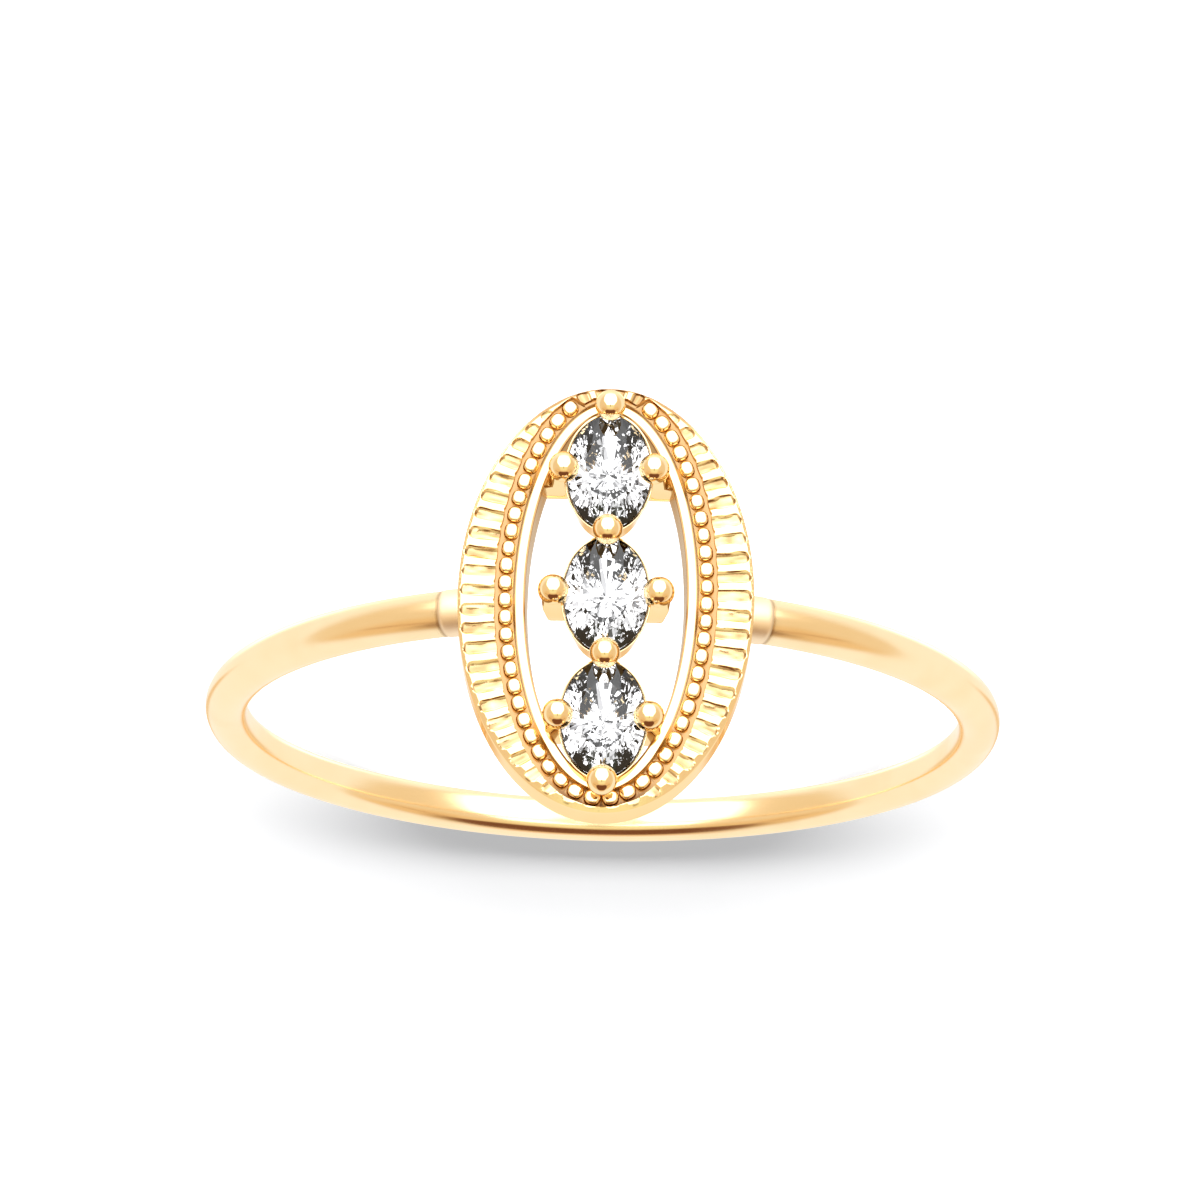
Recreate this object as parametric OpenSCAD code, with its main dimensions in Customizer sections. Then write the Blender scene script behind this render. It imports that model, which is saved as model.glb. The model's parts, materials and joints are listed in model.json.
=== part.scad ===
// A gold ring with an upright oval medallion. The medallion is an open frame with scooped flutes and
// beads round it, and three oval stones stand in claw settings along its middle.
//
// Each part is drawn in the ring's own frame: the centre of the finger hole is the origin, Y runs
// along the finger, and Z runs up through the middle of the medallion. lay_down() then lays the whole
// ring on its side. It rests on one tip of the medallion and on the back of the hoop.

/* [Hoop] */
// Inside diameter, where the finger goes
finger_d = 17.2; // [15:0.2:20]
// Diameter of the round wire
wire_d = 1.06; // [0.9:0.02:1.2]
// Width of the flat land along the inside of the wire
land_w = 0.5; // [0.3:0.05:0.6]
// Angle from the middle of the medallion to each end of the wire, which lies under the rim
wire_end = 16; // [15:0.5:17]
// Angle at which the collar of each solder joint starts
collar_start = 20.5; // [20:0.1:21]
// Angle at which the collar of each solder joint ends
collar_end = 23.7; // [23:0.1:25]
// How far a collar stands out from the wire
collar_step = 0.02; // [0.01:0.01:0.04]

/* [Medallion frame] */
// Half of the medallion's width, across the finger
rim_half_w = 3.37; // [3.3:0.01:3.5]
// Half of the medallion's length, along the finger
rim_half_l = 5.04; // [5.02:0.01:5.2]
// Height of the frame from its back to its smooth border
rim_h = 1.09; // [1:0.01:1.3]
// Gap between the finger and the back of the medallion
back_gap = 0.1; // [0.08:0.01:0.2]
// Bevel along the outer edge of the back
back_bevel = 0.1; // [0.05:0.01:0.15]
// Width of the smooth border outside the flutes
border_w = 0.1; // [0.08:0.01:0.14]
// Rounding at the outer edge of the border
border_round = 0.06; // [0.03:0.01:0.08]

/* [Flutes and beads] */
// Number of flutes scooped out of the frame's top
flute_count = 54; // [48:2:58]
// Depth of the flutes below the border
flute_depth = 0.08; // [0.06:0.005:0.12]
// Number of equal steps in the row of beads
bead_count = 56; // [50:2:60]
// Half of the width of the oval line that the beads' centres follow
bead_half_w = 2.29; // [2.27:0.01:2.31]
// Half of the length of that line
bead_half_l = 4.83; // [4.8:0.01:4.84]
// How far the line lies towards the upper tip, where the outline cuts into the beads
bead_shift = 0.12; // [0.08:0.01:0.14]
// Radius of a bead
bead_r = 0.175; // [0.16:0.005:0.18]
// Height of the beads' tops over the border
bead_rise = 0.05; // [0.02:0.01:0.08]
// Width of the groove between the flutes and the beads
groove_w = 0.07; // [0.05:0.01:0.1]
// Depth of that groove below the border
groove_depth = 0.2; // [0.15:0.01:0.25]

/* [Ledge] */
// Width of the narrow strip between the beads and the ledge
strip_w = 0.07; // [0.05:0.01:0.08]
// Width of the polished ledge
ledge_w = 0.2; // [0.15:0.005:0.22]
// Depth of the ledge below the border
ledge_depth = 0.21; // [0.15:0.01:0.3]
// How much narrower the opening is at the back than at the ledge, on each side
wall_slope = 0.07; // [0.05:0.01:0.12]

/* [Stones and settings] */
// Distance between the centres of neighbouring stones
stone_pitch = 2.93; // [2.92:0.01:2.95]
// Width of each stone, across the finger
stone_w = 2; // [1.9:0.02:2.04]
// Length of each stone, along the finger
stone_l = 2.82; // [2.7:0.02:2.84]
// Height of the girdles' lower edge above the medallion's back
girdle_z = 1.31; // [1.28:0.01:1.36]
// Thickness of the girdle
girdle_t = 0.06; // [0.04:0.01:0.08]
// Height of the crown above the girdle
crown_h = 0.3; // [0.25:0.01:0.34]
// Depth of the pavilion below the girdle
pavilion_h = 0.86; // [0.75:0.01:0.9]
// Clearance all round each stone
stone_gap = 0.03; // [0.02:0.01:0.04]
// Wall of a collet, outside the stone's own width
collet_wall = 0.03; // [0.02:0.01:0.05]
// Radius of the balls on the claws
ball_r = 0.34; // [0.3:0.01:0.36]
// Height of the balls' centres above the medallion's back
ball_z = 1.65; // [1.6:0.01:1.7]
// Radius of the round claws on the long axis
claw_r = 0.22; // [0.18:0.01:0.25]
// Width of the flat claws at the stones' sides
pillar_w = 0.5; // [0.4:0.02:0.56]
// Distance from the long axis to the side balls of the two end settings
side_ball_x = 1.03; // [1:0.01:1.06]
// Distance from the long axis to the side balls of the middle setting
middle_ball_x = 1.2; // [1.15:0.01:1.22]

/* [Hidden] */

gold = [0.96, 0.78, 0.5];
clear_stone = [0.86, 0.9, 0.94];
round_fn = 48;
clear = 1;

// Hoop
finger_r = finger_d / 2;
wire_r = wire_d / 2;
hoop_r = finger_r + sqrt(wire_r * wire_r - land_w * land_w / 4);
back_z = finger_r + back_gap;

// Oval line of the beads, cut into equal steps by its length
arc_steps = 240;
function bead_line(t) = [bead_half_w * sin(t), bead_half_l * cos(t) + bead_shift];
function bead_normal(t) = let (n = [sin(t) / bead_half_w, cos(t) / bead_half_l]) n / norm(n);
function arc_angle(i) = i * 360 / arc_steps;
function arc_chord(i) = norm(bead_line(arc_angle(i + 1)) - bead_line(arc_angle(i)));
arc_table = [for (i = 0, s = 0; i <= arc_steps; s = s + arc_chord(i), i = i + 1) [s, arc_angle(i)]];
perimeter = arc_table[arc_steps][0];
function angle_at(share) = lookup(share * perimeter, arc_table);

// Distance from the bead line to the medallion's outline, along the line's normal
function rim_reach(t) =
    let (p = bead_line(t))
    let (n = bead_normal(t))
    let (w2 = rim_half_w * rim_half_w)
    let (l2 = rim_half_l * rim_half_l)
    let (a = n.x * n.x / w2 + n.y * n.y / l2)
    let (b = p.x * n.x / w2 + p.y * n.y / l2)
    let (c = p.x * p.x / w2 + p.y * p.y / l2 - 1)
    (sqrt(b * b - a * c) - b) / a;

// Rows across the frame. Each flute has a row along its rib and three along its nearly flat bottom.
rows_per_flute = 4;
station_count = flute_count * rows_per_flute;
function flute_share(i) = 1 - pow(1 - 2 * (i % rows_per_flute) / rows_per_flute, 4);

// Fullness of the nearest bead at a share of the line. The beads start half a step from the upper tip.
least_bead = 0.2;
function bead_share(share) =
    let (place = share * bead_count - 0.5)
    let (away = (place - round(place)) * perimeter / bead_count / bead_r)
    max(least_bead, sqrt(max(0, 1 - away * away)));

// Section of the frame, from the outer edge of its back, over its top and in to the opening's edge.
// Each point is the distance from the bead line and the height above the medallion's back. Where the
// outline leaves too little room outside the beads, a narrow lip takes their place.
full_flute = 0.3;
flute_end = 0.13;
edge_share = 0.3;
least_room = 0.06;
lip_share = 0.12;
function rim_section(reach, flute, bead) =
    let (half = bead_r * (reach - bead_r < least_room ? lip_share : 1))
    let (mid = half - bead_r)
    let (room = reach - mid - half)
    let (border = min(border_w, edge_share * room))
    let (outer = reach - border)
    let (inner = mid + half + min(groove_w, edge_share * room))
    let (run = outer - inner)
    let (flute_z = rim_h - flute_depth * flute * min(1, run / full_flute))
    let (end = min(flute_end, 0.4 * run))
    let (groove_z = rim_h - groove_depth)
    let (bead_z = max(groove_z, rim_h + bead_rise - bead_r - (bead_r - half)))
    let (ledge_z = rim_h - ledge_depth)
    let (ledge_in = bead_r + strip_w + ledge_w)
    [
        [reach - back_bevel, 0],
        [reach, back_bevel],
        [reach, rim_h - border_round],
        [reach - min(border_round, 0.5 * border), rim_h],
        [outer, rim_h],
        [outer - 0.25 * end, 0.35 * rim_h + 0.65 * flute_z],
        [outer - end, flute_z],
        [inner + 0.1 * run, flute_z],
        [inner, groove_z],
        [mid + half, groove_z],
        [mid + half * 0.8 * bead, bead_z + half * 0.6 * bead],
        [mid, bead_z + half * bead],
        [mid - half * 0.8 * bead, bead_z + half * 0.6 * bead],
        [-bead_r - strip_w, ledge_z],
        [-ledge_in, ledge_z],
        [-ledge_in - wall_slope, 0]
    ];

function rim_station(i) =
    let (share = i / station_count)
    let (t = angle_at(share))
    let (p = bead_line(t))
    let (n = bead_normal(t))
    [
        for (q = rim_section(rim_reach(t), flute_share(i), bead_share(share)))
            [p.x + n.x * q[0], p.y + n.y * q[0], q[1]]
    ];

// Outline of an oval
function oval(half_w, half_l, count, turn = 0) =
    [for (i = [0:count - 1]) let (a = turn + i * 360 / count) [half_w * cos(a), half_l * sin(a)]];

// Rings of corners of a cut stone, from the table down: share of its half size, height, corners, turn
STONE_RINGS = [
    [0.60, girdle_t + crown_h, 8, 22.5],
    [0.84, girdle_t + crown_h * 0.52, 8, 0],
    [1.00, girdle_t, 16, 0],
    [1.00, 0, 16, 0],
    [0.42, -pavilion_h * 0.62, 8, 22.5],
    [0.02, -pavilion_h, 8, 22.5]
];
stone_mid_z = girdle_t / 2;
function stone_ring(ring, grow) =
    let (reach = ring[0] + grow / stone_w * 2)
    let (z = ring[1] + grow * sign(ring[1] - stone_mid_z))
    [for (p = oval(stone_w / 2 * reach, stone_l / 2 * reach, ring[2], ring[3])) [p.x, p.y, z]];

// Rest pose: the tip of the rim and the back of the wire both touch the ground
foot = [rim_half_l, back_z + back_bevel + hoop_r];
lean = atan(foot[0] / foot[1]) - asin(wire_r / norm(foot));
centre_z = hoop_r * sin(lean) + wire_r;
end_claw_y = stone_pitch * 1.5 + 0.05;
front_y = -(back_z + ball_z) * cos(lean) - end_claw_y * sin(lean) - ball_r;
rear_y = hoop_r * cos(lean) + wire_r;

module lay_down() {
    translate([0, -(front_y + rear_y) / 2, centre_z])
        rotate([90 - lean, 0, 0])
        rotate([0, 0, 180])
        children();
}

// A round section swept about the finger, from one angle to another, with the land cut inside it
module swept_wire(section_r, inside_r, from_angle, to_angle) {
    rotate([90, 0, 0])
        difference() {
            rotate([0, 0, 90 + from_angle])
                rotate_extrude(angle = to_angle - from_angle, $fn = round_fn * 2)
                translate([hoop_r, 0])
                circle(r = section_r, $fn = round_fn / 2);
            cylinder(r = inside_r, h = wire_d + clear, center = true, $fn = round_fn * 2);
        }
}

module hoop() {
    swept_wire(wire_r, finger_r, wire_end, 360 - wire_end);
}

module collars() {
    for (start = [collar_start, 360 - collar_end])
        swept_wire(wire_r + collar_step, finger_r + collar_step, start, start + collar_end - collar_start);
}

// The open frame with its wall, border, flutes, beads and ledge, as one closed band
module frame() {
    stations = [for (i = [0:station_count - 1]) rim_station(i)];
    n = len(stations[0]);
    corners = [for (station = stations) each station];
    faces = [
        for (i = [0:station_count - 1])
            let (a = i * n)
            let (b = (i + 1) % station_count * n)
            for (j = [0:n - 1])
                let (k = (j + 1) % n)
                each [[a + j, b + k, a + k], [a + j, b + j, b + k]]
    ];
    polyhedron(points = corners, faces = faces, convexity = 8);
}

module stone_solid(grow = 0) {
    corners = [for (ring = STONE_RINGS) each stone_ring(ring, grow)];
    hull()
        polyhedron(points = corners, faces = [[for (i = [0:len(corners) - 1]) i]]);
}

// The basket under one stone: a tapered oval wall, open at the back
module collet() {
    top_w = stone_w / 2 + collet_wall;
    top_l = stone_l / 2 + collet_wall;
    foot_share = 0.84;
    hole_share = 0.62;
    difference() {
        linear_extrude(height = girdle_z, scale = 1 / foot_share)
            polygon(oval(top_w * foot_share, top_l * foot_share, 32, 360 / 64));
        translate([0, 0, -clear])
            linear_extrude(height = girdle_z + 2 * clear)
            polygon(oval(top_w * hole_share, top_l * hole_share * 1.1, 24, 360 / 48));
    }
}

module claw_ball() {
    sphere(r = ball_r, $fn = round_fn / 2);
}

// A round claw on the long axis
module round_claw() {
    cylinder(r = claw_r, h = ball_z, $fn = round_fn / 2);
    translate([0, 0, ball_z])
        claw_ball();
}

// A flat claw at a stone's side. foot_x and step_x are its outer faces below and above the ledge.
module flat_claw(ball_x, foot_x, top_foot_x) {
    inside = stone_w / 2 * 0.8;
    step_z = rim_h - ledge_depth;
    rotate([90, 0, 0])
        linear_extrude(height = pillar_w, center = true)
        polygon([
            [inside, 0],
            [foot_x, 0],
            [top_foot_x, step_z],
            [ball_x + ball_r * 0.75, ball_z - ball_r * 0.3],
            [ball_x, ball_z],
            [inside, ball_z - ball_r * 0.5]
        ]);
    translate([ball_x, 0, ball_z])
        claw_ball();
}

module end_setting() {
    side_foot = bead_half_w - bead_r - strip_w - ledge_w - 0.2;
    collet();
    for (turn = [0, 1])
        mirror([turn, 0, 0])
            flat_claw(side_ball_x, side_foot, side_foot);
}

module middle_setting() {
    collet();
    for (turn = [0, 1])
        mirror([turn, 0, 0])
            flat_claw(middle_ball_x, middle_ball_x + 0.12, middle_ball_x + 0.24);
}

module settings() {
    difference() {
        union() {
            middle_setting();
            for (side = [-1, 1]) {
                translate([0, side * stone_pitch, 0])
                    end_setting();
                translate([0, side * stone_pitch / 2, 0])
                    round_claw();
                translate([0, side * end_claw_y, 0])
                    round_claw();
            }
        }
        for (place = [-1:1])
            translate([0, place * stone_pitch, girdle_z])
                stone_solid(stone_gap);
    }
}

module ring_metal() {
    color(gold)
        lay_down() {
            hoop();
            collars();
            translate([0, 0, back_z]) {
                frame();
                settings();
            }
        }
}

module stone(place) {
    color(clear_stone)
        lay_down()
        translate([0, place * stone_pitch, back_z + girdle_z])
        stone_solid();
}

module stone_upper() {
    stone(1);
}

module stone_middle() {
    stone(0);
}

module stone_lower() {
    stone(-1);
}

ring_metal();
stone_upper();
stone_middle();
stone_lower();
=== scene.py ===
import json
import logging
import math
from collections.abc import Iterable, Sequence
from dataclasses import dataclass, field
from enum import Enum

import bmesh
import bpy
import numpy as np
from mathutils import Matrix, Vector


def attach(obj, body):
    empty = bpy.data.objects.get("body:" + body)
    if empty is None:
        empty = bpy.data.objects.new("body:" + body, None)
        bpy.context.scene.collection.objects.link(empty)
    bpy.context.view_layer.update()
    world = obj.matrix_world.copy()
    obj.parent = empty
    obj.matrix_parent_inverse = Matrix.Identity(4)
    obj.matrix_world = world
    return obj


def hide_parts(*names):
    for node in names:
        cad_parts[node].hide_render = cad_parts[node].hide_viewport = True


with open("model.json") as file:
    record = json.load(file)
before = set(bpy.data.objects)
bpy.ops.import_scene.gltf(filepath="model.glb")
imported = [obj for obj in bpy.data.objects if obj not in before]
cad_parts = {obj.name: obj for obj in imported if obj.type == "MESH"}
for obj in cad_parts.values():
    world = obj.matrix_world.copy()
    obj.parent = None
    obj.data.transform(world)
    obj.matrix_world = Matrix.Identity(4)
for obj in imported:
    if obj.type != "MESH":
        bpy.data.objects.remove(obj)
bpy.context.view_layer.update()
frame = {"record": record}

# A slim gold ring with an upright oval medallion. The medallion is an open frame with scooped flutes and
# a row of beads, and three oval stones stand in claw settings along its middle.
#
# Every shape is drawn in the ring's own frame, in millimetres: the centre of the finger hole is the
# origin, Y runs along the finger, and Z runs up through the middle of the medallion. RingFrame.lay_down
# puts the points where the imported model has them, in metres.

MM = 0.001
MICRON = 0.001 * MM
LOG = logging.getLogger("medallion_ring")

Colour = tuple[float, float, float]
Point = tuple[float, float, float]
Pairs = tuple[tuple[float, float], ...]
# rows of the medallion's section: distance from the bead line, height above the back, painted shade and grain
Rows = list[tuple[float, float, float, float]]


class Slot(Enum):
    """The record's material slots."""

    GOLD = "gold"
    STONE = "stone"


class Node(Enum):
    """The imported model's nodes that the pieces stand for."""

    METAL = "ring_metal"
    UPPER = "stone_upper"
    MIDDLE = "stone_middle"
    LOWER = "stone_lower"


@dataclass(frozen=True)
class RingFrame:
    """Where the ring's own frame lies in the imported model.

    Attributes:
        origin: Centre of the finger hole, in metres.
        along: Direction of the ring's Y axis.
    """

    origin: Vector
    along: Vector

    @classmethod
    def from_record(cls, record: dict) -> "RingFrame":
        """Reads the frame from the mount of the finger hole.

        Args:
            record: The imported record.

        Returns:
            The ring's frame.
        """
        hole = next(m for m in record["mounts"] if m["name"] == "finger_hole")
        return cls(Vector(hole["pos_m"]), -Vector(hole["axis"]).normalized())

    @property
    def axes(self) -> np.ndarray:
        """The ring's X, Y and Z axes as rows."""
        across = Vector((-1.0, 0.0, 0.0))
        return np.array([across, self.along, across.cross(self.along)])

    def lay_down(self, points: np.ndarray) -> np.ndarray:
        """Turns points of the ring's frame, in millimetres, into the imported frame, in metres."""
        return np.asarray(points) @ self.axes * MM + np.array(self.origin)

    def turn(self, direction: Sequence[float]) -> Vector:
        """Turns a direction of the ring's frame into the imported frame."""
        return Vector(np.asarray(direction) @ self.axes)


@dataclass
class Shell:
    """A growing mesh.

    Attributes:
        corners: Its corners in the ring's frame, in millimetres, as they were added.
        faces: Its faces, as numbers of their corners.
        count: Number of its corners.
    """

    corners: list[np.ndarray] = field(default_factory=list)
    faces: list[tuple[int, ...]] = field(default_factory=list)
    count: int = 0

    def add(self, corners: np.ndarray, faces: Iterable[tuple[int, ...]]) -> "Shell":
        """Adds corners, and faces that are numbered from the first of them.

        Args:
            corners: The new corners.
            faces: The new faces.

        Returns:
            This shell.
        """
        start = self.count
        self.corners.append(np.asarray(corners, float))
        self.faces.extend(tuple(start + i for i in face) for face in faces)
        self.count += len(corners)
        return self

    def loft(self, rows: np.ndarray, closed: bool = False) -> "Shell":
        """Joins rows of corners, each a closed loop, into a skin.

        Args:
            rows: Corners as rows x loop x 3. The loop turns clockwise seen along the rows' direction.
            closed: Whether the last row joins the first. Open skins get a cap at each end.

        Returns:
            This shell.
        """
        count, loop = rows.shape[:2]
        faces = []
        for i in range(count if closed else count - 1):
            here, there = i * loop, (i + 1) % count * loop
            for j in range(loop):
                k = (j + 1) % loop
                faces.append((here + j, here + k, there + k, there + j))
        if not closed:
            faces.append(tuple(reversed(range(loop))))
            faces.append(tuple((count - 1) * loop + j for j in range(loop)))
        return self.add(rows.reshape(-1, 3), faces)

    def build(self, name: str, ring: RingFrame, sharp_angle: float = 180.0) -> bpy.types.Object:
        """Makes the mesh object.

        Args:
            name: Name of the piece.
            ring: The ring's frame.
            sharp_angle: Edges that turn more than this many degrees are shaded sharp. At 0 every face is
                shaded flat.

        Returns:
            The object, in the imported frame.
        """
        mesh = bpy.data.meshes.new(name)
        mesh.from_pydata(ring.lay_down(np.concatenate(self.corners)).tolist(), [], self.faces)
        mesh.validate()
        if sharp_angle > 0:
            mesh.shade_smooth()
            if sharp_angle < 180:
                mesh.set_sharp_from_angle(angle=math.radians(sharp_angle))
        return place_in_scene(name, mesh)


def place_in_scene(name: str, data: bpy.types.ID) -> bpy.types.Object:
    """Puts a mesh, a lamp or a camera into the scene.

    Args:
        name: Name of the new object.
        data: Its mesh, lamp or lens.

    Returns:
        The object.
    """
    made = bpy.data.objects.new(name, data)
    bpy.context.scene.collection.objects.link(made)
    return made


def circle(count: int) -> np.ndarray:
    """Cosines and sines of even steps round a circle, as count x 2."""
    angle = np.arange(count) * 2 * np.pi / count
    return np.stack([np.cos(angle), np.sin(angle)], -1)


def arc(start: float, end: float, count: int) -> np.ndarray:
    """Cosines and sines of evenly spaced angles, in degrees, as count x 2."""
    angle = np.radians(np.linspace(start, end, count))
    return np.stack([np.cos(angle), np.sin(angle)], -1)


def smooth(value: np.ndarray | float, low: float, high: float) -> np.ndarray | float:
    """A soft step from 0 at low to 1 at high."""
    x = np.clip((np.asarray(value, float) - low) / (high - low), 0, 1)
    return x * x * (3 - 2 * x)


def note(piece: bpy.types.Object, name: str, values: np.ndarray) -> None:
    """Writes a value from 0 to 1 on each corner of a piece, which its finish reads.

    Args:
        piece: The piece.
        name: "stain_and_shade" for the seam stain and the painted shade on the metal, "cast" for how
        grainy, "pavilion" for a stone's finely cut underside.
        values: One value for each corner.
    """
    piece.data.attributes.new(name, "FLOAT", "POINT").data.foreach_set("value", np.asarray(values, float))


def corners_of(piece: bpy.types.Object, ring: RingFrame) -> np.ndarray:
    """A piece's corners in the ring's frame, in millimetres.

    Args:
        piece: The piece.
        ring: The ring's frame.

    Returns:
        The corners as count x 3.
    """
    points = np.empty(len(piece.data.vertices) * 3)
    piece.data.vertices.foreach_get("co", points)
    return (points.reshape(-1, 3) - np.array(ring.origin)) @ ring.axes.T / MM


def between(values: np.ndarray, row: float, columns: np.ndarray) -> np.ndarray:
    """Reads a grid of values between its points.

    Args:
        values: The grid. Its rows run round in a ring.
        row: Place along the rows.
        columns: Places along the columns.

    Returns:
        The values at those places.
    """
    low = math.floor(row)
    places = np.arange(values.shape[1])
    first, second = (np.interp(columns, places, values[(low + k) % len(values)]) for k in (0, 1))
    return first + (second - first) * smooth(row - low, 0, 1)


class Graph:
    """A short way to fill a node tree."""

    def __init__(self, tree: bpy.types.NodeTree) -> None:
        """Starts on an existing tree."""
        self.tree = tree

    def node(self, kind: str, **settings: object) -> bpy.types.Node:
        """Adds a node and sets its properties.

        Args:
            kind: Type of the node.
            **settings: Its properties and their values.

        Returns:
            The node.
        """
        made = self.tree.nodes.new(kind)
        for name, value in settings.items():
            setattr(made, name, value)
        return made

    def feed(self, socket: bpy.types.NodeSocket, source: object) -> None:
        """Links a socket to an output, or sets its value.

        Args:
            socket: The input.
            source: An output to link, or a value.
        """
        if isinstance(source, bpy.types.NodeSocket):
            self.tree.links.new(source, socket)
        else:
            socket.default_value = source

    def math(self, operation: str, *terms: object) -> bpy.types.NodeSocket:
        """Works out one sum on numbers or sockets.

        Args:
            operation: Name of the sum.
            *terms: Its numbers or sockets.

        Returns:
            The result.
        """
        made = self.node("ShaderNodeMath", operation=operation)
        for socket, term in zip(made.inputs, terms):
            self.feed(socket, term)
        return made.outputs[0]

    def step(self, value: object, low: float, high: float) -> bpy.types.NodeSocket:
        """A soft step from 0 at low to 1 at high.

        Args:
            value: A number or a socket.
            low: Where the step begins.
            high: Where it is full.

        Returns:
            The step.
        """
        made = self.node("ShaderNodeMapRange", interpolation_type="SMOOTHSTEP")
        self.feed(made.inputs["Value"], value)
        made.inputs["From Min"].default_value = low
        made.inputs["From Max"].default_value = high
        return made.outputs["Result"]

    def blend(self, share: object, first: object, second: object) -> bpy.types.NodeSocket:
        """Mixes two colours by a share.

        Args:
            share: How much of the second colour shows.
            first: A colour or a socket.
            second: A colour or a socket.

        Returns:
            The mixed colour.
        """
        made = self.node("ShaderNodeMix", data_type="RGBA")
        for socket, term in zip((made.inputs[0], made.inputs[6], made.inputs[7]), (share, first, second)):
            self.feed(socket, term)
        return made.outputs[2]

    def curve(self, value: object, points: Sequence[tuple[float, float]]) -> bpy.types.NodeSocket:
        """Joins points by straight lines.

        Args:
            value: An angle between -200 and 200 degrees.
            points: The angles and what the curve gives there, from -1 to 1.

        Returns:
            The curve's value.
        """
        made = self.node("ShaderNodeFloatCurve")
        line = made.mapping.curves[0]
        made.mapping.use_clip = False
        while len(line.points) < len(points):
            line.points.new(0.5, 0.5)
        for point, (angle, level) in zip(line.points, sorted(points)):
            point.location = (angle / 400 + 0.5, level / 2 + 0.5)
            point.handle_type = "VECTOR"
        made.mapping.update()
        share = self.math("MULTIPLY_ADD", value, 1 / 400, 0.5)
        self.feed(made.inputs["Value"], share)
        return self.math("MULTIPLY_ADD", made.outputs[0], 2.0, -1.0)

    def split(self, vector: bpy.types.NodeSocket) -> tuple[bpy.types.NodeSocket, ...]:
        """The three parts of a vector.

        Args:
            vector: The vector.

        Returns:
            Its X, Y and Z.
        """
        made = self.node("ShaderNodeSeparateXYZ")
        self.tree.links.new(vector, made.inputs[0])
        return tuple(made.outputs)

    def noted(self, name: str) -> bpy.types.NodeSocket:
        """The value that note has written on a piece's corners."""
        return self.node("ShaderNodeAttribute", attribute_name=name).outputs["Fac"]

    def bump(self, shader: bpy.types.Node, height: bpy.types.NodeSocket) -> None:
        """Tilts what a shader mirrors as if its surface had a height, in metres.

        Args:
            shader: The shader.
            height: The height.
        """
        made = self.node("ShaderNodeBump")
        made.inputs["Distance"].default_value = 1.0
        self.feed(made.inputs["Height"], height)
        self.feed(shader.inputs["Normal"], made.outputs["Normal"])


def new_material(name: str) -> tuple[bpy.types.Material, Graph, bpy.types.Node]:
    """Starts a material, and gives it with its graph and its shader.

    Args:
        name: Name of the material.

    Returns:
        The material, its graph and its shader.
    """
    made = bpy.data.materials.new(name)
    made.use_nodes = True
    return made, Graph(made.node_tree), made.node_tree.nodes["Principled BSDF"]


def effect_group(name: str, inputs: dict[str, float], outputs: Sequence[str]) -> tuple:
    """Starts a shader node group with number sockets.

    Args:
        name: Name of the group.
        inputs: Names of the inputs and their usual values.
        outputs: Names of the outputs.

    Returns:
        The group, its graph, and its input and output nodes.
    """
    group = bpy.data.node_groups.new(name, "ShaderNodeTree")
    for label, value in inputs.items():
        socket = group.interface.new_socket(name=label, in_out="INPUT", socket_type="NodeSocketFloat")
        socket.default_value = value
    for label in outputs:
        group.interface.new_socket(name=label, in_out="OUTPUT", socket_type="NodeSocketFloat")
    graph = Graph(group)
    return group, graph, graph.node("NodeGroupInput"), graph.node("NodeGroupOutput")


def cast_grain() -> bpy.types.NodeTree:
    """The fine pebbled skin that casting leaves where the polisher can't reach.

    Returns:
        A node group that puts out a height and a mask of the duller spots.
    """
    dull_from, dull_full = 0.4, 0.75
    group, graph, start, end = effect_group(
        "cast_grain", {"Grains per mm": 14.0, "Pits": 0.3}, ("Height", "Dull")
    )
    place = graph.node("ShaderNodeTexCoord").outputs["Object"]
    scale = graph.math("MULTIPLY", start.outputs["Grains per mm"], 1 / MM)
    grain = graph.node("ShaderNodeTexNoise")
    pits = graph.node("ShaderNodeTexVoronoi", feature="SMOOTH_F1")
    for made in (grain, pits):
        graph.feed(made.inputs["Vector"], place)
        graph.feed(made.inputs["Scale"], scale)
    grain.inputs["Detail"].default_value = 3.0
    pit_height = graph.math("MULTIPLY", pits.outputs["Distance"], start.outputs["Pits"])
    height = graph.math("ADD", grain.outputs["Fac"], pit_height)
    graph.feed(end.inputs["Height"], height)
    graph.feed(end.inputs["Dull"], graph.step(grain.outputs["Fac"], dull_from, dull_full))
    return group


def polish_haze() -> bpy.types.NodeTree:
    """Soft clouds and hairlines that a polishing wheel leaves on a smooth surface.

    Returns:
        A node group that puts out a haze for the roughness and a height of the hairlines.
    """
    hazy_from, hazy_full = 0.35, 0.7
    line_turn, line_squeeze = (0.3, 0.5, 0.9), (0.06, 1.0, 1.0)
    group, graph, start, end = effect_group(
        "polish_haze", {"Clouds per mm": 0.6, "Lines per mm": 9.0}, ("Haze", "Height")
    )
    place = graph.node("ShaderNodeTexCoord").outputs["Object"]
    clouds = graph.node("ShaderNodeTexNoise")
    graph.feed(clouds.inputs["Vector"], place)
    graph.feed(clouds.inputs["Scale"], graph.math("MULTIPLY", start.outputs["Clouds per mm"], 1 / MM))
    drawn = graph.node("ShaderNodeMapping")
    graph.feed(drawn.inputs["Vector"], place)
    drawn.inputs["Rotation"].default_value = line_turn
    drawn.inputs["Scale"].default_value = line_squeeze
    lines = graph.node("ShaderNodeTexNoise")
    graph.feed(lines.inputs["Vector"], drawn.outputs["Vector"])
    graph.feed(lines.inputs["Scale"], graph.math("MULTIPLY", start.outputs["Lines per mm"], 1 / MM))
    lines.inputs["Detail"].default_value = 4.0
    graph.feed(end.inputs["Haze"], graph.step(clouds.outputs["Fac"], hazy_from, hazy_full))
    graph.feed(end.inputs["Height"], lines.outputs["Fac"])
    return group


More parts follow.
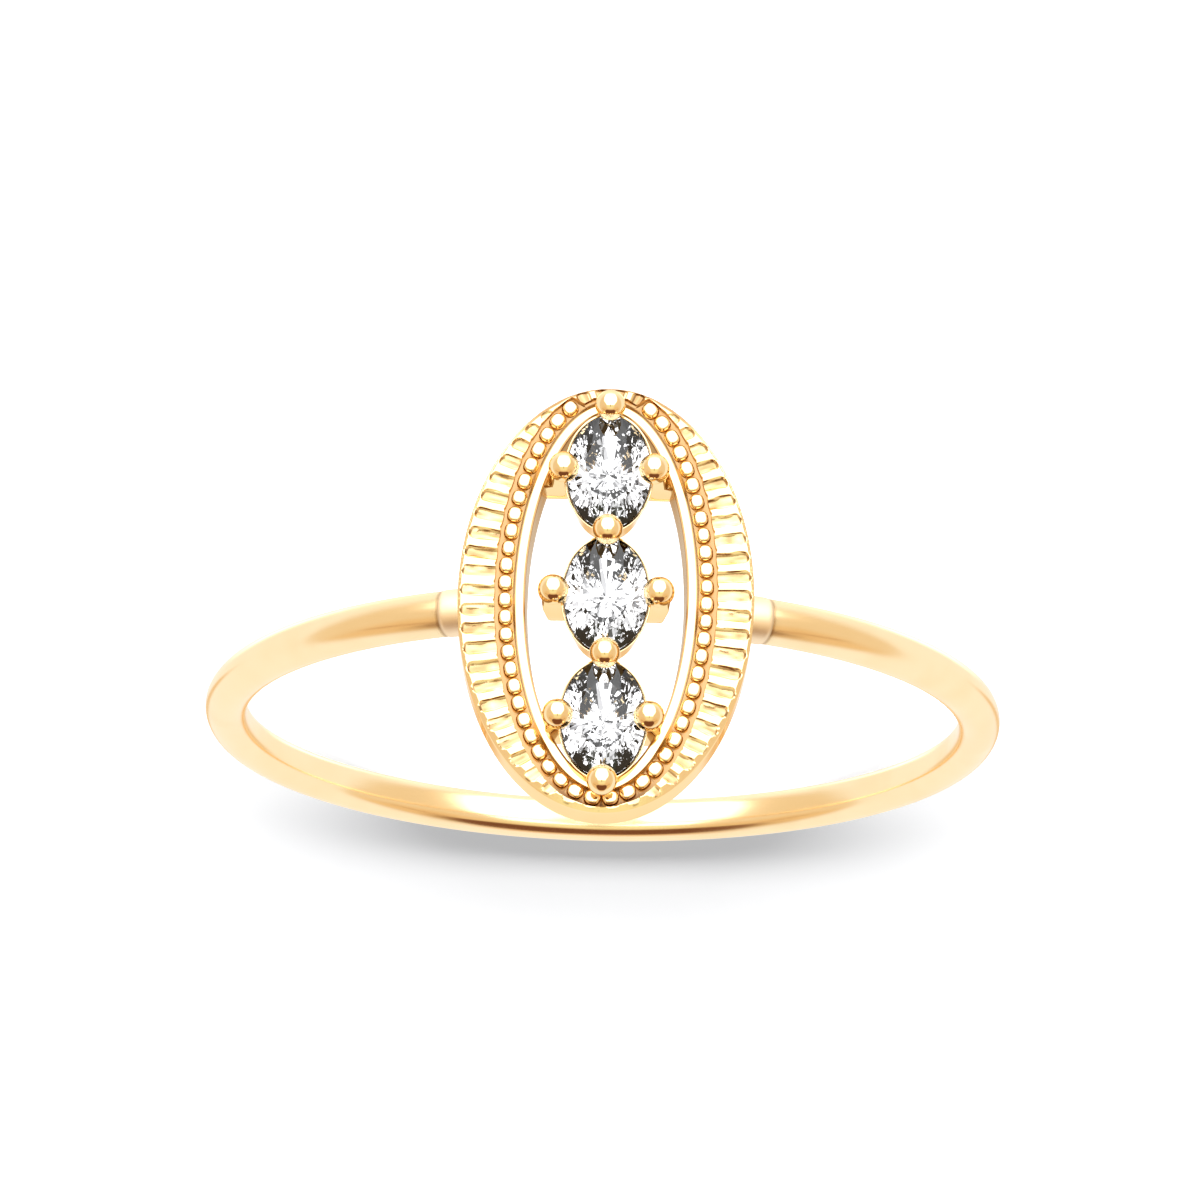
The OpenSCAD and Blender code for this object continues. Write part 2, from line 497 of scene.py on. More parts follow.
def cut_shards() -> bpy.types.NodeTree:
    """Flat little shards, as a finely cut pavilion breaks up what it throws back.

    Returns:
        A node group that puts out a height.
    """
    group, graph, start, end = effect_group("cut_shards", {"Shards per mm": 5.0, "Tilt": 0.08}, ("Height",))
    cells = graph.node("ShaderNodeTexVoronoi", feature="DISTANCE_TO_EDGE")
    graph.feed(cells.inputs["Vector"], graph.node("ShaderNodeTexCoord").outputs["Object"])
    scale = graph.math("MULTIPLY", start.outputs["Shards per mm"], 1 / MM)
    graph.feed(cells.inputs["Scale"], scale)
    slope = graph.math("DIVIDE", start.outputs["Tilt"], scale)
    graph.feed(end.inputs["Height"], graph.math("MULTIPLY", cells.outputs["Distance"], slope))
    return group


@dataclass(frozen=True)
class Effects:
    """The node groups that the finishes share.

    Attributes:
        grain: The skin that casting leaves.
        haze: What a polishing wheel leaves.
        shards: The finely cut underside of a stone.
    """

    grain: bpy.types.NodeTree
    haze: bpy.types.NodeTree
    shards: bpy.types.NodeTree

    @classmethod
    def build(cls) -> "Effects":
        """Builds each group once."""
        return cls(cast_grain(), polish_haze(), cut_shards())


@dataclass(frozen=True)
class GoldFinish:
    """A finish of the pale yellow gold.

    Attributes:
        name: Name of the material.
        tint: Colour of the clean metal.
        deep_tint: Colour where the finish is hazy or pitted.
        stain_and_shade_tint: Colour halfway to deep_shade_tint: the collars' seam stain and light painted
            shade.
        deep_shade_tint: Colour of the darkest painted shade, in the medallion's hollows and under the stones.
        edge_tint: Colour of the metal where it is seen at a very flat angle.
        polish: Roughness of the best polished spots.
        haze: How much rougher the hazy spots are.
        stain_and_shade_rough: How much rougher the seam stain and the painted shade are.
        grain_um: Depth of the cast grain, in thousandths of a millimetre.
        line_um: Depth of the polishing lines, in thousandths of a millimetre.
        grains: Grains per millimetre.
    """

    name: str
    tint: Colour = (0.955, 0.735, 0.42)
    deep_tint: Colour = (0.94, 0.70, 0.38)
    stain_and_shade_tint: Colour = (0.36, 0.215, 0.095)
    deep_shade_tint: Colour = (0.105, 0.045, 0.022)
    edge_tint: Colour = (0.98, 0.82, 0.6)
    polish: float = 0.04
    haze: float = 0.05
    stain_and_shade_rough: float = 0.3
    grain_um: float = 0.0
    line_um: float = 0.4
    grains: float = 14.0

    def material(self, effects: Effects) -> bpy.types.Material:
        """Builds the material.

        Args:
            effects: The shared node groups.

        Returns:
            The finished material.
        """
        made, graph, shader = new_material(self.name)
        shader.inputs["Metallic"].default_value = 1.0
        shader.inputs["Specular Tint"].default_value = (*self.edge_tint, 1.0)
        haze = graph.node("ShaderNodeGroup", node_tree=effects.haze)
        grain = graph.node("ShaderNodeGroup", node_tree=effects.grain)
        grain.inputs["Grains per mm"].default_value = self.grains
        stain_and_shade_level, cast = graph.noted("stain_and_shade"), graph.noted("cast")
        dull = haze.outputs["Haze"]
        if self.grain_um > 0:
            dull = graph.math("MAXIMUM", dull, graph.math("MULTIPLY", grain.outputs["Dull"], cast))
        tint = graph.blend(dull, (*self.tint, 1.0), (*self.deep_tint, 1.0))
        # stain_and_shade: the collars' seam stain, and painted shade in the medallion's hollows and under the
        # stones
        half_stain_and_shade = graph.blend(graph.step(stain_and_shade_level, 0.0, 0.5), tint, (*self.stain_and_shade_tint, 1.0))
        with_shade = graph.blend(graph.step(stain_and_shade_level, 0.5, 1.0), half_stain_and_shade, (*self.deep_shade_tint, 1.0))
        graph.feed(shader.inputs["Base Color"], with_shade)
        rough = graph.math("MULTIPLY_ADD", dull, self.haze, self.polish)
        graph.feed(shader.inputs["Roughness"], graph.math("MULTIPLY_ADD", stain_and_shade_level, self.stain_and_shade_rough, rough))
        rise = graph.math("MULTIPLY", grain.outputs["Height"], self.grain_um * MICRON)
        rise = graph.math("MULTIPLY", rise, cast)
        graph.bump(shader, graph.math("MULTIPLY_ADD", haze.outputs["Height"], self.line_um * MICRON, rise))
        return made


@dataclass(frozen=True)
class StoneFinish:
    """A clear cut stone.

    Attributes:
        name: Name of the material.
        bend: Index of refraction.
        tint: Colour of the stone.
        gloss: Strength of the mirrored light, as a tint.
        haze: Roughness of the least polished spots.
        shards: Shards per millimetre in the pavilion.
        tilt: Slope of the shards.
    """

    name: str
    bend: float = 2.16
    tint: Colour = (1.0, 1.0, 1.0)
    gloss: Colour = (0.35, 0.35, 0.35)
    haze: float = 0.004
    shards: float = 1.1
    tilt: float = 0.022

    def material(self, effects: Effects) -> bpy.types.Material:
        """Builds the material.

        Args:
            effects: The shared node groups.

        Returns:
            The finished material.
        """
        made, graph, shader = new_material(self.name)
        shader.inputs["Base Color"].default_value = (*self.tint, 1.0)
        shader.inputs["IOR"].default_value = self.bend
        shader.inputs["Transmission Weight"].default_value = 1.0
        shader.inputs["Specular Tint"].default_value = (*self.gloss, 1.0)
        haze = graph.node("ShaderNodeGroup", node_tree=effects.haze)
        graph.feed(shader.inputs["Roughness"], graph.math("MULTIPLY", haze.outputs["Haze"], self.haze))
        shards = graph.node("ShaderNodeGroup", node_tree=effects.shards)
        shards.inputs["Shards per mm"].default_value = self.shards
        shards.inputs["Tilt"].default_value = self.tilt
        graph.bump(shader, graph.math("MULTIPLY", shards.outputs["Height"], graph.noted("pavilion")))
        return made


# smooth metal: the claws and baskets, the hoop's wire and the collars soldered on it
# the claws and baskets: their deep_shade_tint is near black, the painted shade in the seats under the stones
POLISHED_GOLD = GoldFinish("polished_gold", deep_shade_tint=(0.035, 0.028, 0.024))
DRAWN_GOLD = GoldFinish(
    "drawn_gold",
    tint=(0.965, 0.755, 0.46),
    deep_tint=(0.95, 0.725, 0.42),
    edge_tint=(1.0, 0.95, 0.88),
    polish=0.17,
)
SOLDERED_GOLD = GoldFinish(
    "soldered_gold",
    tint=(0.96, 0.77, 0.53),
    deep_tint=(0.94, 0.74, 0.5),
    edge_tint=(1.0, 0.95, 0.88),
    polish=0.42,
)
# the medallion, which keeps the grain of its mould
CAST_GOLD = GoldFinish("cast_gold", haze=0.06, grain_um=2.6, line_um=0.0, grains=16.0)
CLEAR_STONE = StoneFinish("clear_stone")


@dataclass
class Hoop:
    """The wire round the finger and its two solder collars.

    Attributes:
        ring: The ring's frame.
        finger_d: Inside diameter.
        wire_d: Diameter of the round wire.
        land_w: Width of the flat land along the inside.
        wire_end: Angle from the medallion's middle to each end of the wire, in degrees.
        wire_steps: Number of even sections along the wire.
        collar: Angles at which a collar starts and ends, in degrees.
        collar_step: How far a collar stands out.
        collar_start: The crisp end of a collar, as (place, rise). Places along the wire and rises over
            it are both in parts of collar_step.
        collar_end: The worn end of a collar, in the same way.
        collar_tuck: Angle past its worn end, in degrees, and rise, where a collar closes inside the wire.
        section_steps: Number of corners round a section.
        wear: How crisp the land's edges are. Less is more worn.
        seam_w: Stretch past a collar where the wire's sections lie close, in degrees.
        stain_and_shade_level: How stained the seam at a collar's worn end is.
        stain_place, stain_w: Middle and width of the stain, in degrees past the collar.
    """

    ring: RingFrame
    finger_d: float = 17.2
    wire_d: float = 1.06
    land_w: float = 0.5
    wire_end: float = 16.0
    wire_steps: int = 321
    collar: tuple[float, float] = (20.5, 23.7)
    collar_step: float = 0.02
    collar_start: Pairs = ((0.0, -0.03), (0.0, 0.4), (0.4, 0.85), (1.0, 1.0))
    collar_end: Pairs = ((-3.5, 0.85), (-2.0, 0.5), (-1.0, 0.22), (0.0, 0.05))
    collar_tuck: tuple[float, float] = (0.01, -0.6)
    section_steps: int = 72
    wear: float = 12.0
    seam_w: float = 0.5
    stain_and_shade_level: float = 0.3
    stain_place: float = 0.05
    stain_w: float = 0.4

    @property
    def wire_r(self) -> float:
        """Radius of the wire."""
        return self.wire_d / 2

    @property
    def land(self) -> float:
        """Distance of the flat land from the wire's middle line."""
        return math.sqrt(self.wire_r**2 - self.land_w**2 / 4)

    @property
    def hoop_r(self) -> float:
        """Radius of the wire's middle line."""
        return self.finger_d / 2 + self.land

    def section(self, grow: float) -> np.ndarray:
        """The wire's section with its land, whose edges are worn round.

        Args:
            grow: How much thicker than the wire the section is.

        Returns:
            Corners as distances outwards and along the finger.
        """
        around = circle(self.section_steps)
        # it stays small on the outer side, where the wire is round
        inwards = np.maximum(-around[:, 0], 0.01)
        radius = ((inwards / self.land) ** self.wear + self.wire_r**-self.wear) ** (-1 / self.wear) + grow
        return around * radius[:, None]

    def sweep(self, name: str, angles: Sequence[float], rises: Sequence[float]) -> bpy.types.Object:
        """Carries the wire's section round the finger, and notes the stain by the seams.

        Args:
            name: Name of the piece.
            angles: Angle of each section from the medallion's middle, in degrees.
            rises: How much thicker than the wire each section is.

        Returns:
            The piece.
        """
        rows = []
        for angle, rise in zip(np.radians(angles), rises):
            section = self.section(rise)
            out = self.hoop_r + section[:, 0]
            rows.append(np.stack([out * np.sin(angle), section[:, 1], out * np.cos(angle)], -1))
        piece = Shell().loft(np.array(rows)).build(name, self.ring, sharp_angle=40)
        note(piece, "stain_and_shade", self.stain_and_shade(corners_of(piece, self.ring)))
        return piece

    def stain_and_shade(self, points: np.ndarray) -> np.ndarray:
        """The stain that soldering leaves by the seams.

        Args:
            points: Points of the ring's frame.

        Returns:
            A value from 0 to 1 for each point.
        """
        turn = np.degrees(np.abs(np.arctan2(points[:, 0], points[:, 2])))
        past = (turn - self.collar[1] - self.stain_place) / self.stain_w
        return self.stain_and_shade_level * np.exp(-(past**2))

    def build_wire(self) -> bpy.types.Object:
        """Builds the wire. Its sections lie close by the seams, where the stain fades.

        Returns:
            The wire.
        """
        seam = self.collar[1] + np.linspace(0, self.seam_w, 7)
        even = np.linspace(self.wire_end, 360 - self.wire_end, self.wire_steps)
        angles = np.unique(np.concatenate([even, seam, 360 - seam]))
        return self.sweep("hoop_wire", angles, np.zeros(len(angles)))

    def build_collar(self, name: str, side: int) -> bpy.types.Object:
        """Builds one collar with rounded edges.

        Args:
            name: Name of the piece.
            side: 1 for the ring's +X side, -1 for the other.

        Returns:
            The piece.
        """
        start, end = self.collar
        unit = math.degrees(self.collar_step / self.hoop_r)
        steps = [(start + place * unit, rise) for place, rise in self.collar_start]
        steps += [(angle, 1.0) for angle in np.linspace(start + 2 * unit, end - 5 * unit, 8)]
        steps += [(end + place * unit, rise) for place, rise in self.collar_end]
        steps += [(end + self.collar_tuck[0], self.collar_tuck[1])]
        if side < 0:
            steps = [(360 - angle, rise) for angle, rise in reversed(steps)]
        angles, rises = np.array(steps).T
        return self.sweep(name, angles, rises * self.collar_step)

    def build(self) -> list[bpy.types.Object]:
        """Builds the wire and both collars.

        Returns:
            The wire, the right collar and the left one.
        """
        return [
            self.build_wire(),
            self.build_collar("collar_right", 1),
            self.build_collar("collar_left", -1),
        ]


@dataclass(frozen=True)
class Station:
    """One place round the medallion, where a section of its frame is drawn.

    Attributes:
        number: Number of the flute there.
        across: Place across the flute, from -1 at one rib to 1 at the next.
        t: The oval's angle.
        reach: Distance from the bead line out to the outline.
        bare: 1 where no beads stand beside the flute, and 0 where they do.
        gap: 1 at the gap between two beads, and 0 at a bead.
        upper_tip, lower_tip: 1 at the medallion's upper or lower tip, and 0 well away from it.
        seat_out: Outer edge of the beads' bed, from the bead line.
        flute_in: Inner end of the flute, from the bead line.
        border: Width of the border's bevel.
    """

    number: int
    across: float
    t: float
    reach: float
    bare: float
    gap: float
    upper_tip: float
    lower_tip: float
    seat_out: float
    flute_in: float
    border: float


@dataclass
class Medallion:
    """The oval frame with its border, scooped flutes, beads and ledge.

    A span below is where something begins and where it is full. Those of the tips are cosines of the
    oval's angle from the tip.

    Attributes:
        ring: The ring's frame.
        half_w, half_l: Half of the outline's width and length.
        height: Height of the frame from its back to its border.
        back_z: Height of the back over the middle of the finger hole.
        back_bevel: Bevel along the back's outer edge.
        bead_half_w, bead_half_l: Half sizes of the oval line through the beads.
        bead_shift: How far that line lies towards the upper tip.
        bead_count: Number of equal steps in the row of beads.
        bead_r: Radius of a bead, across the row.
        bead_half_gap: Half of the gap between two beads.
        bead_top: Height of the beads' tops over the border.
        bead_square: 2 for round beads, more for beads pressed square.
        bead_profile: Reach and height of a bead from its top to its bottom, as shares of its radius.
        bead_steps: Number of corners round a bead.
        bead_spread, bead_lean: How much the beads differ in size and in lean.
        bead_limit: Greatest size of a bead, as a share of its usual one.
        bead_foot_shade: How dark the painted shade on the beads' feet is, as a share of their bed's.
        foot_span: Depths below the beads' tops of the painted shade on their feet, in parts of the radius.
        least_room: Where the outline leaves less than this outside the beads, there are none.
        bare_fade: Stretch of that room over which the bed without beads begins.
        bare_bed: How far the bed's outer edge draws in where there are no beads, in bead radii.
        bare_border, bare_end, bare_rib, bare_flute: How much smaller the border's bevel, flute_end,
            rib_half_w and full_flute are where there are no beads.
        flute_count: Number of flutes.
        flute_depth: Depth of a flute below its ribs.
        depth_range: Least and greatest depth of a flute, as shares of that.
        flute_end: Length of a flute's rounded outer end.
        flute_edge: Distances in from a flute's edge, and the shares of its depth there.
        rib_half_w: Half of the width of a rib's flat top.
        full_flute: Flutes shorter than this are shallower.
        end_share, end_rows, floor_rows: Share of a flute's length, from its outer end, over which its rows
            lie close, their number there, and their number over the rest.
        scallop: How much shorter a rib is than the flutes beside it.
        scallop_room: Where the flutes have less room than this, the scallop is smaller.
        unevenness: Rise and fall of a flute's floor.
        skin_edge: Distance in from a flute's edge from which its floor is fully uneven.
        floor_grid, rib_grid: Random values across a flute and along it, for its floor and its ribs.
        floor_per_mm, rib_per_mm: How many of those values a millimetre along a flute has.
        wander: How far a rib strays to its sides, as a share of half a flute.
        border_w: Width of the border's bevel.
        tip_border_w: How much wider the bevel is at the lower tip.
        tip_border_span: Span of that widening.
        shoulder: The bevel's section, as shares of its width inwards and down.
        groove_w, groove_depth: Size of the groove between flutes and beads.
        bed_rise: How much higher the beads' bed is than the groove.
        strip_w: Width of the slope between the beads and the ledge.
        ledge_w, ledge_depth: Size of the polished ledge.
        ledge_tilt: How much higher the ledge's inner edge is than its outer one.
        lip: The ledge's inner edge, as distances outwards and down from it, and the painted shade there.
        wall_slope: How much narrower the opening is at the back.
        wall_shade: How dark the painted shade on the opening's wall is.
        row_places: Places of the rows across half a flute, from its rib to its middle.
        upper_span, lower_span: Spans of the upper and the lower tip.
        bed_shade: How dark the painted shade in the groove and the beads' bed is.
        gap_shade: How much darker the painted shade on the bed is between two beads.
        gap_crisp: How narrow that darker gap is. More is narrower.
        tip_groove_shade: How much darker the painted shade in the groove is at the lower tip.
        upper_rim_shade: How dark the painted shade on the border is at the upper tip.
        scoop_shade: How dark the painted shade inside the flutes is.
        scoop_span: Distances in from a flute's edge of that painted shade.
        end_shade: How much darker the painted shade at a flute's outer end is, on its lower side.
        end_span: Span of that end, in parts of flute_end.
        end_fade: Distances in from a flute's edge over which that painted shade fades.
        lower_side: Places across a flute of its lower side.
        seed: Start of the random unevenness.
    """

    ring: RingFrame
    half_w: float = 3.37
    half_l: float = 5.04
    height: float = 1.09
    back_z: float = 8.7
    back_bevel: float = 0.1
    bead_half_w: float = 2.29
    bead_half_l: float = 4.83
    bead_shift: float = 0.12
    bead_count: int = 56
    bead_r: float = 0.175
    bead_half_gap: float = 0.012
    bead_top: float = 0.05
    bead_square: float = 2.7
    bead_profile: Pairs = (
        (0.0, 1.0), (0.25, 0.99), (0.45, 0.975), (0.6, 0.945), (0.7, 0.9), (0.78, 0.83), (0.84, 0.76),
        (0.89, 0.67), (0.93, 0.57), (0.965, 0.46), (0.99, 0.33), (1.0, 0.15), (0.99, -0.1), (0.9, -0.4),
        (0.0, -0.6),
    )
    bead_steps: int = 28
    bead_spread: float = 0.05
    bead_lean: float = 0.06
    bead_limit: float = 1.02
    bead_foot_shade: float = 0.3
    foot_span: tuple[float, float] = (0.35, 0.8)
    least_room: float = 0.06
    bare_fade: float = 0.05
    bare_bed: float = 1.9
    bare_border: float = 0.6
    bare_end: float = 0.6
    bare_rib: float = 0.4
    bare_flute: float = 0.4
    flute_count: int = 54
    flute_depth: float = 0.058
    depth_range: tuple[float, float] = (0.8, 1.15)
    flute_end: float = 0.17
    flute_edge: Pairs = ((0.0, 0.0), (0.006, 0.03), (0.036, 0.45), (0.05, 0.6), (0.095, 0.93), (0.15, 1.0))
    rib_half_w: float = 0.07
    full_flute: float = 0.3
    end_share: float = 0.3
    end_rows: int = 9
    floor_rows: int = 12
    scallop: float = 0.035
    scallop_room: float = 0.5
    unevenness: float = 0.013
    skin_edge: float = 0.03
    floor_grid: tuple[int, int] = (8, 12)
    rib_grid: tuple[int, int] = (2, 8)
    floor_per_mm: float = 4.95
    rib_per_mm: float = 5.4
    wander: float = 0.09
    border_w: float = 0.075
    tip_border_w: float = 0.11
    tip_border_span: tuple[float, float] = (0.2, 0.99)
    shoulder: Pairs = (
        (0.0, 0.64), (0.03, 0.51), (0.15, 0.435), (0.35, 0.335), (0.6, 0.205), (0.82, 0.09), (0.94, 0.03),
        (1.0, 0.0),
    )
    groove_w: float = 0.07
    groove_depth: float = 0.14
    bed_rise: float = 0.01
    strip_w: float = 0.07
    ledge_w: float = 0.2
    ledge_depth: float = 0.16
    ledge_tilt: float = 0.04
    lip: tuple[Point, ...] = (
        (0.045, 0.0, 0.0), (0.035, 0.002, 0.5), (0.0, 0.011, 0.55), (-0.008, 0.03, 0.5), (-0.012, 0.09, 0.5),
    )
    wall_slope: float = 0.07
    wall_shade: float = 0.5
    row_places: tuple[float, ...] = (
        0.0, 0.12, 0.22, 0.3, 0.35, 0.4, 0.45, 0.5, 0.55, 0.62, 0.7, 0.8, 0.9, 1.0,
    )
    upper_span: tuple[float, float] = (0.55, 0.97)
    lower_span: tuple[float, float] = (0.8, 0.99)
    bed_shade: float = 0.44
    gap_shade: float = 0.42
    gap_crisp: int = 10
    tip_groove_shade: float = 0.45
    upper_rim_shade: float = 0.62
    scoop_shade: float = 0.36
    scoop_span: tuple[float, float] = (0.03, 0.07)
    end_shade: float = 0.75
    end_span: tuple[float, float] = (0.3, 0.75)
    end_fade: tuple[float, float] = (0.04, 0.09)
    lower_side: tuple[float, float] = (-0.6, 0.1)
    seed: int = 54

    def __post_init__(self) -> None:
        """Measures the bead line, so that it can be cut into equal steps, and draws the unevenness."""
        self.fine_t = np.linspace(0, 2 * np.pi, 4001)
        line = self.bead_line(self.fine_t)
        steps = np.linalg.norm(np.diff(line, axis=0), axis=1)
        self.fine_length = np.concatenate([[0], np.cumsum(steps)])
        self.random = np.random.default_rng(self.seed)
        self.floor_rise, self.rib_stray = (
            self.random.uniform(-1, 1, (self.flute_count * grid[0], grid[1]))
            for grid in (self.floor_grid, self.rib_grid)
        )
        self.depth_spread = self.random.uniform(*self.depth_range, self.flute_count)

    @property
    def ledge_out(self) -> float:
        """Distance of the ledge's outer edge in from the bead line."""
        return self.bead_r + self.strip_w

    @property
    def ledge_in(self) -> float:
        """Distance of the ledge's inner edge in from the bead line."""
        return self.ledge_out + self.ledge_w

    def bead_line(self, t: np.ndarray | float) -> np.ndarray:
        """Points of the oval line through the beads."""
        return np.stack([self.bead_half_w * np.sin(t), self.bead_half_l * np.cos(t) + self.bead_shift], -1)

    def bead_normal(self, t: np.ndarray | float) -> np.ndarray:
        """Outward directions of the bead line."""
        n = np.stack([np.sin(t) / self.bead_half_w, np.cos(t) / self.bead_half_l], -1)
        return n / np.linalg.norm(n, axis=-1, keepdims=True)

    def at_share(self, share: float) -> float:
        """The oval's angle at a share of the bead line's length."""
        return float(np.interp(share % 1.0 * self.fine_length[-1], self.fine_length, self.fine_t))

    def reach(self, t: float) -> float:
        """Distance from the bead line out to the medallion's outline.

        Args:
            t: The oval's angle.

        Returns:
            The distance.
        """
        p, n = self.bead_line(t), self.bead_normal(t)
        squares = np.array([self.half_w**2, self.half_l**2])
        a = (n * n / squares).sum(-1)
        b = (p * n / squares).sum(-1)
        c = (p * p / squares).sum(-1) - 1
        return float((np.sqrt(b * b - a * c) - b) / a)

    def half_flute(self, t: float, offset: np.ndarray) -> np.ndarray:
        """Half the distance between two ribs.

        Args:
            t: The oval's angle.
            offset: Distances from the bead line.

        Returns:
            Half the distance at each offset.
        """
        a, b = self.bead_half_w, self.bead_half_l
        bend = a * b / math.hypot(a * math.cos(t), b * math.sin(t)) ** 3
        return self.fine_length[-1] / self.flute_count / 2 * (1 + offset * bend)

    def station(self, number: int, across: float) -> Station:
        """Works out what the frame's section depends on.

        Args:
            number: Number of the flute.
            across: Place across the flute, from -1 at one rib to 1 at the next.

        Returns:
            The place round the medallion.
        """
        share = (number + 0.5 + 0.5 * across) / self.flute_count
        t = self.at_share(share)
        up = math.cos(t)
        reach = self.reach(t)
        bare = 1 - smooth(reach - self.bead_r, self.least_room - self.bare_fade, self.least_room)
        gap = abs(2 * (share * self.bead_count % 1.0) - 1) ** self.gap_crisp * (1 - bare)
        upper_tip, lower_tip = smooth(up, *self.upper_span), smooth(-up, *self.lower_span)
        seat_out = self.bead_r * (1 - self.bare_bed * bare)
        room = reach - seat_out
        border = self.border_w * (1 - self.bare_border * bare)
        border += self.tip_border_w * smooth(-up, *self.tip_border_span)
        border = min(border, (0.5 + 0.3 * lower_tip) * room)
        flute_in = seat_out + min(self.groove_w, 0.25 * room)
        flute_in += self.scallop * abs(across) ** 3 * min(1.0, room / self.scallop_room)
        return Station(number, across, t, reach, bare, gap, upper_tip, lower_tip, seat_out, flute_in, border)

    def flute(self, at: Station, offset: np.ndarray) -> tuple[np.ndarray, np.ndarray]:
        """Depth of a flute, as an uneven cutter with a blunt end leaves it.

        Args:
            at: The place round the medallion.
            offset: Distances from the bead line.

        Returns:
            Depths below the ribs, and how dark the scoop's painted shade is there.
        """
        turn = at.number + 0.5 + at.across / 2
        along = np.maximum(offset - self.bead_r, 0.0)
        stray = between(self.rib_stray, turn * self.rib_grid[0], along * self.rib_per_mm)
        floor = between(self.floor_rise, turn * self.floor_grid[0], along * self.floor_per_mm)
        side = np.abs(at.across + self.wander * stray * (1 - at.across**4))
        past = np.maximum(0.0, 1 - (at.reach - offset) / (self.flute_end * (1 - self.bare_end * at.bare)))
        rib = self.rib_half_w * (1 - self.bare_rib * at.bare)
        inside = np.maximum(0.0, (1 - np.hypot(side, past)) * self.half_flute(at.t, offset) - rib)
        share = np.interp(inside, *zip(*self.flute_edge))
        skin = self.unevenness * floor * (0.3 + 0.7 * smooth(inside, 0.0, self.skin_edge))
        depth = self.flute_depth * self.depth_spread[at.number] * share + skin
        # painted shade inside the scoop, and darker painted shade at its outer end on the lower side
        scoop = self.scoop_shade * (0.85 + 0.45 * floor + 0.3 * at.bare) * smooth(inside, *self.scoop_span)
        lower = smooth(at.across * math.copysign(1.0, math.sin(at.t)), *self.lower_side)
        dark_end = self.end_shade * lower * smooth(past, *self.end_span) * smooth(inside, 0.0, 0.02)
        return depth, scoop + dark_end * (1 - smooth(inside, *self.end_fade))

    def section(self, at: Station) -> np.ndarray:
        """The frame's section, from the inner edge of its back out, over its top and in to the opening.

        Args:
            at: The place round the medallion.

        Returns:
            Points as distance from the bead line, height above the back, painted shade and grain.
        """
        return np.array(self.outer_rows(at) + self.top_rows(at) + self.bed_rows(at) + self.ledge_rows())

    def outer_rows(self, at: Station) -> Rows:
        """The section's back, bevel and outer wall.

        Args:
            at: The place round the medallion.

        Returns:
            The rows.
        """
        bevel = self.back_bevel
        rows = [(-self.ledge_in - self.wall_slope + 0.03, 0.0), (at.reach - bevel - 0.02, 0.0)]
        rows += [(at.reach - bevel + bevel * s, bevel * (1 - c)) for c, s in arc(10, 85, 5)]
        rows += [(at.reach, z) for z in (bevel + 0.04, 0.4 * self.height, 0.75 * self.height)]
        return [(q, z, 0.0, 0.0) for q, z in rows]

    def top_rows(self, at: Station) -> Rows:
        """The section's border and flute. Its rows lie close at the flute's outer end.

        Args:
            at: The place round the medallion.

        Returns:
            The rows.
        """
        top = self.height
        crown = [(at.reach - at.border * x, top - at.border * y) for x, y in self.shoulder]
        outer = crown[-1][0]
        end_steps = np.linspace(0, self.end_share, self.end_rows)[1:]
        steps = np.concatenate([end_steps, np.linspace(self.end_share, 1, self.floor_rows)[1:]])
        crown += [(outer + (at.flute_in - outer) * k, top) for k in steps]
        q, z = np.array(crown).T
        depth, scoop = self.flute(at, q)
        share = smooth(at.reach - at.flute_in, 0.02, self.full_flute * (1 - self.bare_flute * at.bare))
        # painted shade on the border at the upper tip
        rim = self.upper_rim_shade * at.upper_tip * smooth(q, outer - 0.02, outer + 0.005)
        stain_and_shade_level = np.maximum(share * scoop, rim)
        grain = smooth(q, at.reach, at.reach - 0.05)
        return list(zip(q, np.minimum(z, top - depth * share), stain_and_shade_level, grain))

    def bed_rows(self, at: Station) -> Rows:
        """The section's groove and the beads' bed, in to the ledge.

        Args:
            at: The place round the medallion.

        Returns:
            The rows.
        """
        groove_z, ledge_z = self.height - self.groove_depth, self.height - self.ledge_depth
        bed_z = groove_z + self.bed_rise
        # painted shade: the groove and the beads' bed darker, more so between beads and at the lower tip
        bed = self.bed_shade
        pit, gap = bed + self.tip_groove_shade * at.lower_tip, bed + self.gap_shade * at.gap
        near, mid = (at.seat_out - share * (at.seat_out + self.bead_r) for share in (0.3, 0.6))
        return [
            (at.flute_in - 0.008, groove_z + 0.05, 0.7 * bed, 1.0),
            (at.flute_in - 0.016, groove_z, pit, 1.0),
            (at.seat_out - 0.001, groove_z, pit, 1.0),
            (near, groove_z + 0.006, gap, 1.0),
            (mid, bed_z, gap, 1.0),
            (-self.bead_r, bed_z, bed, 1.0),
            (-self.bead_r - 0.012, groove_z, bed, 0.6),
            (-self.ledge_out + 0.02, ledge_z + 0.006, bed, 0.4),
            (-self.ledge_out + 0.006, ledge_z, 0.8 * bed, 0.0),
        ]

    def ledge_rows(self) -> Rows:
        """The section's ledge, with its inner edge, and the opening's wall.

        Returns:
            The rows, which are the same all round.
        """
        ledge_z = self.height - self.ledge_depth
        lip_z = ledge_z + self.ledge_tilt
        rows = [(-self.ledge_out - 0.006, ledge_z, 0.0, 0.0)]
        # painted shade along the ledge's inner edge and on the opening's wall
        rows += [(-self.ledge_in + out, lip_z - down, stain_and_shade_level, 0.0) for out, down, stain_and_shade_level in self.lip]
        for share in (0.3, 0.6, 0.9):
            inwards = self.ledge_in + self.wall_slope * share
            rows.append((-inwards, ledge_z * (1 - share), self.wall_shade, 0.2))
        rows.append((-self.ledge_in - self.wall_slope + 0.01, 0.02, 0.2, 0.0))
        return rows

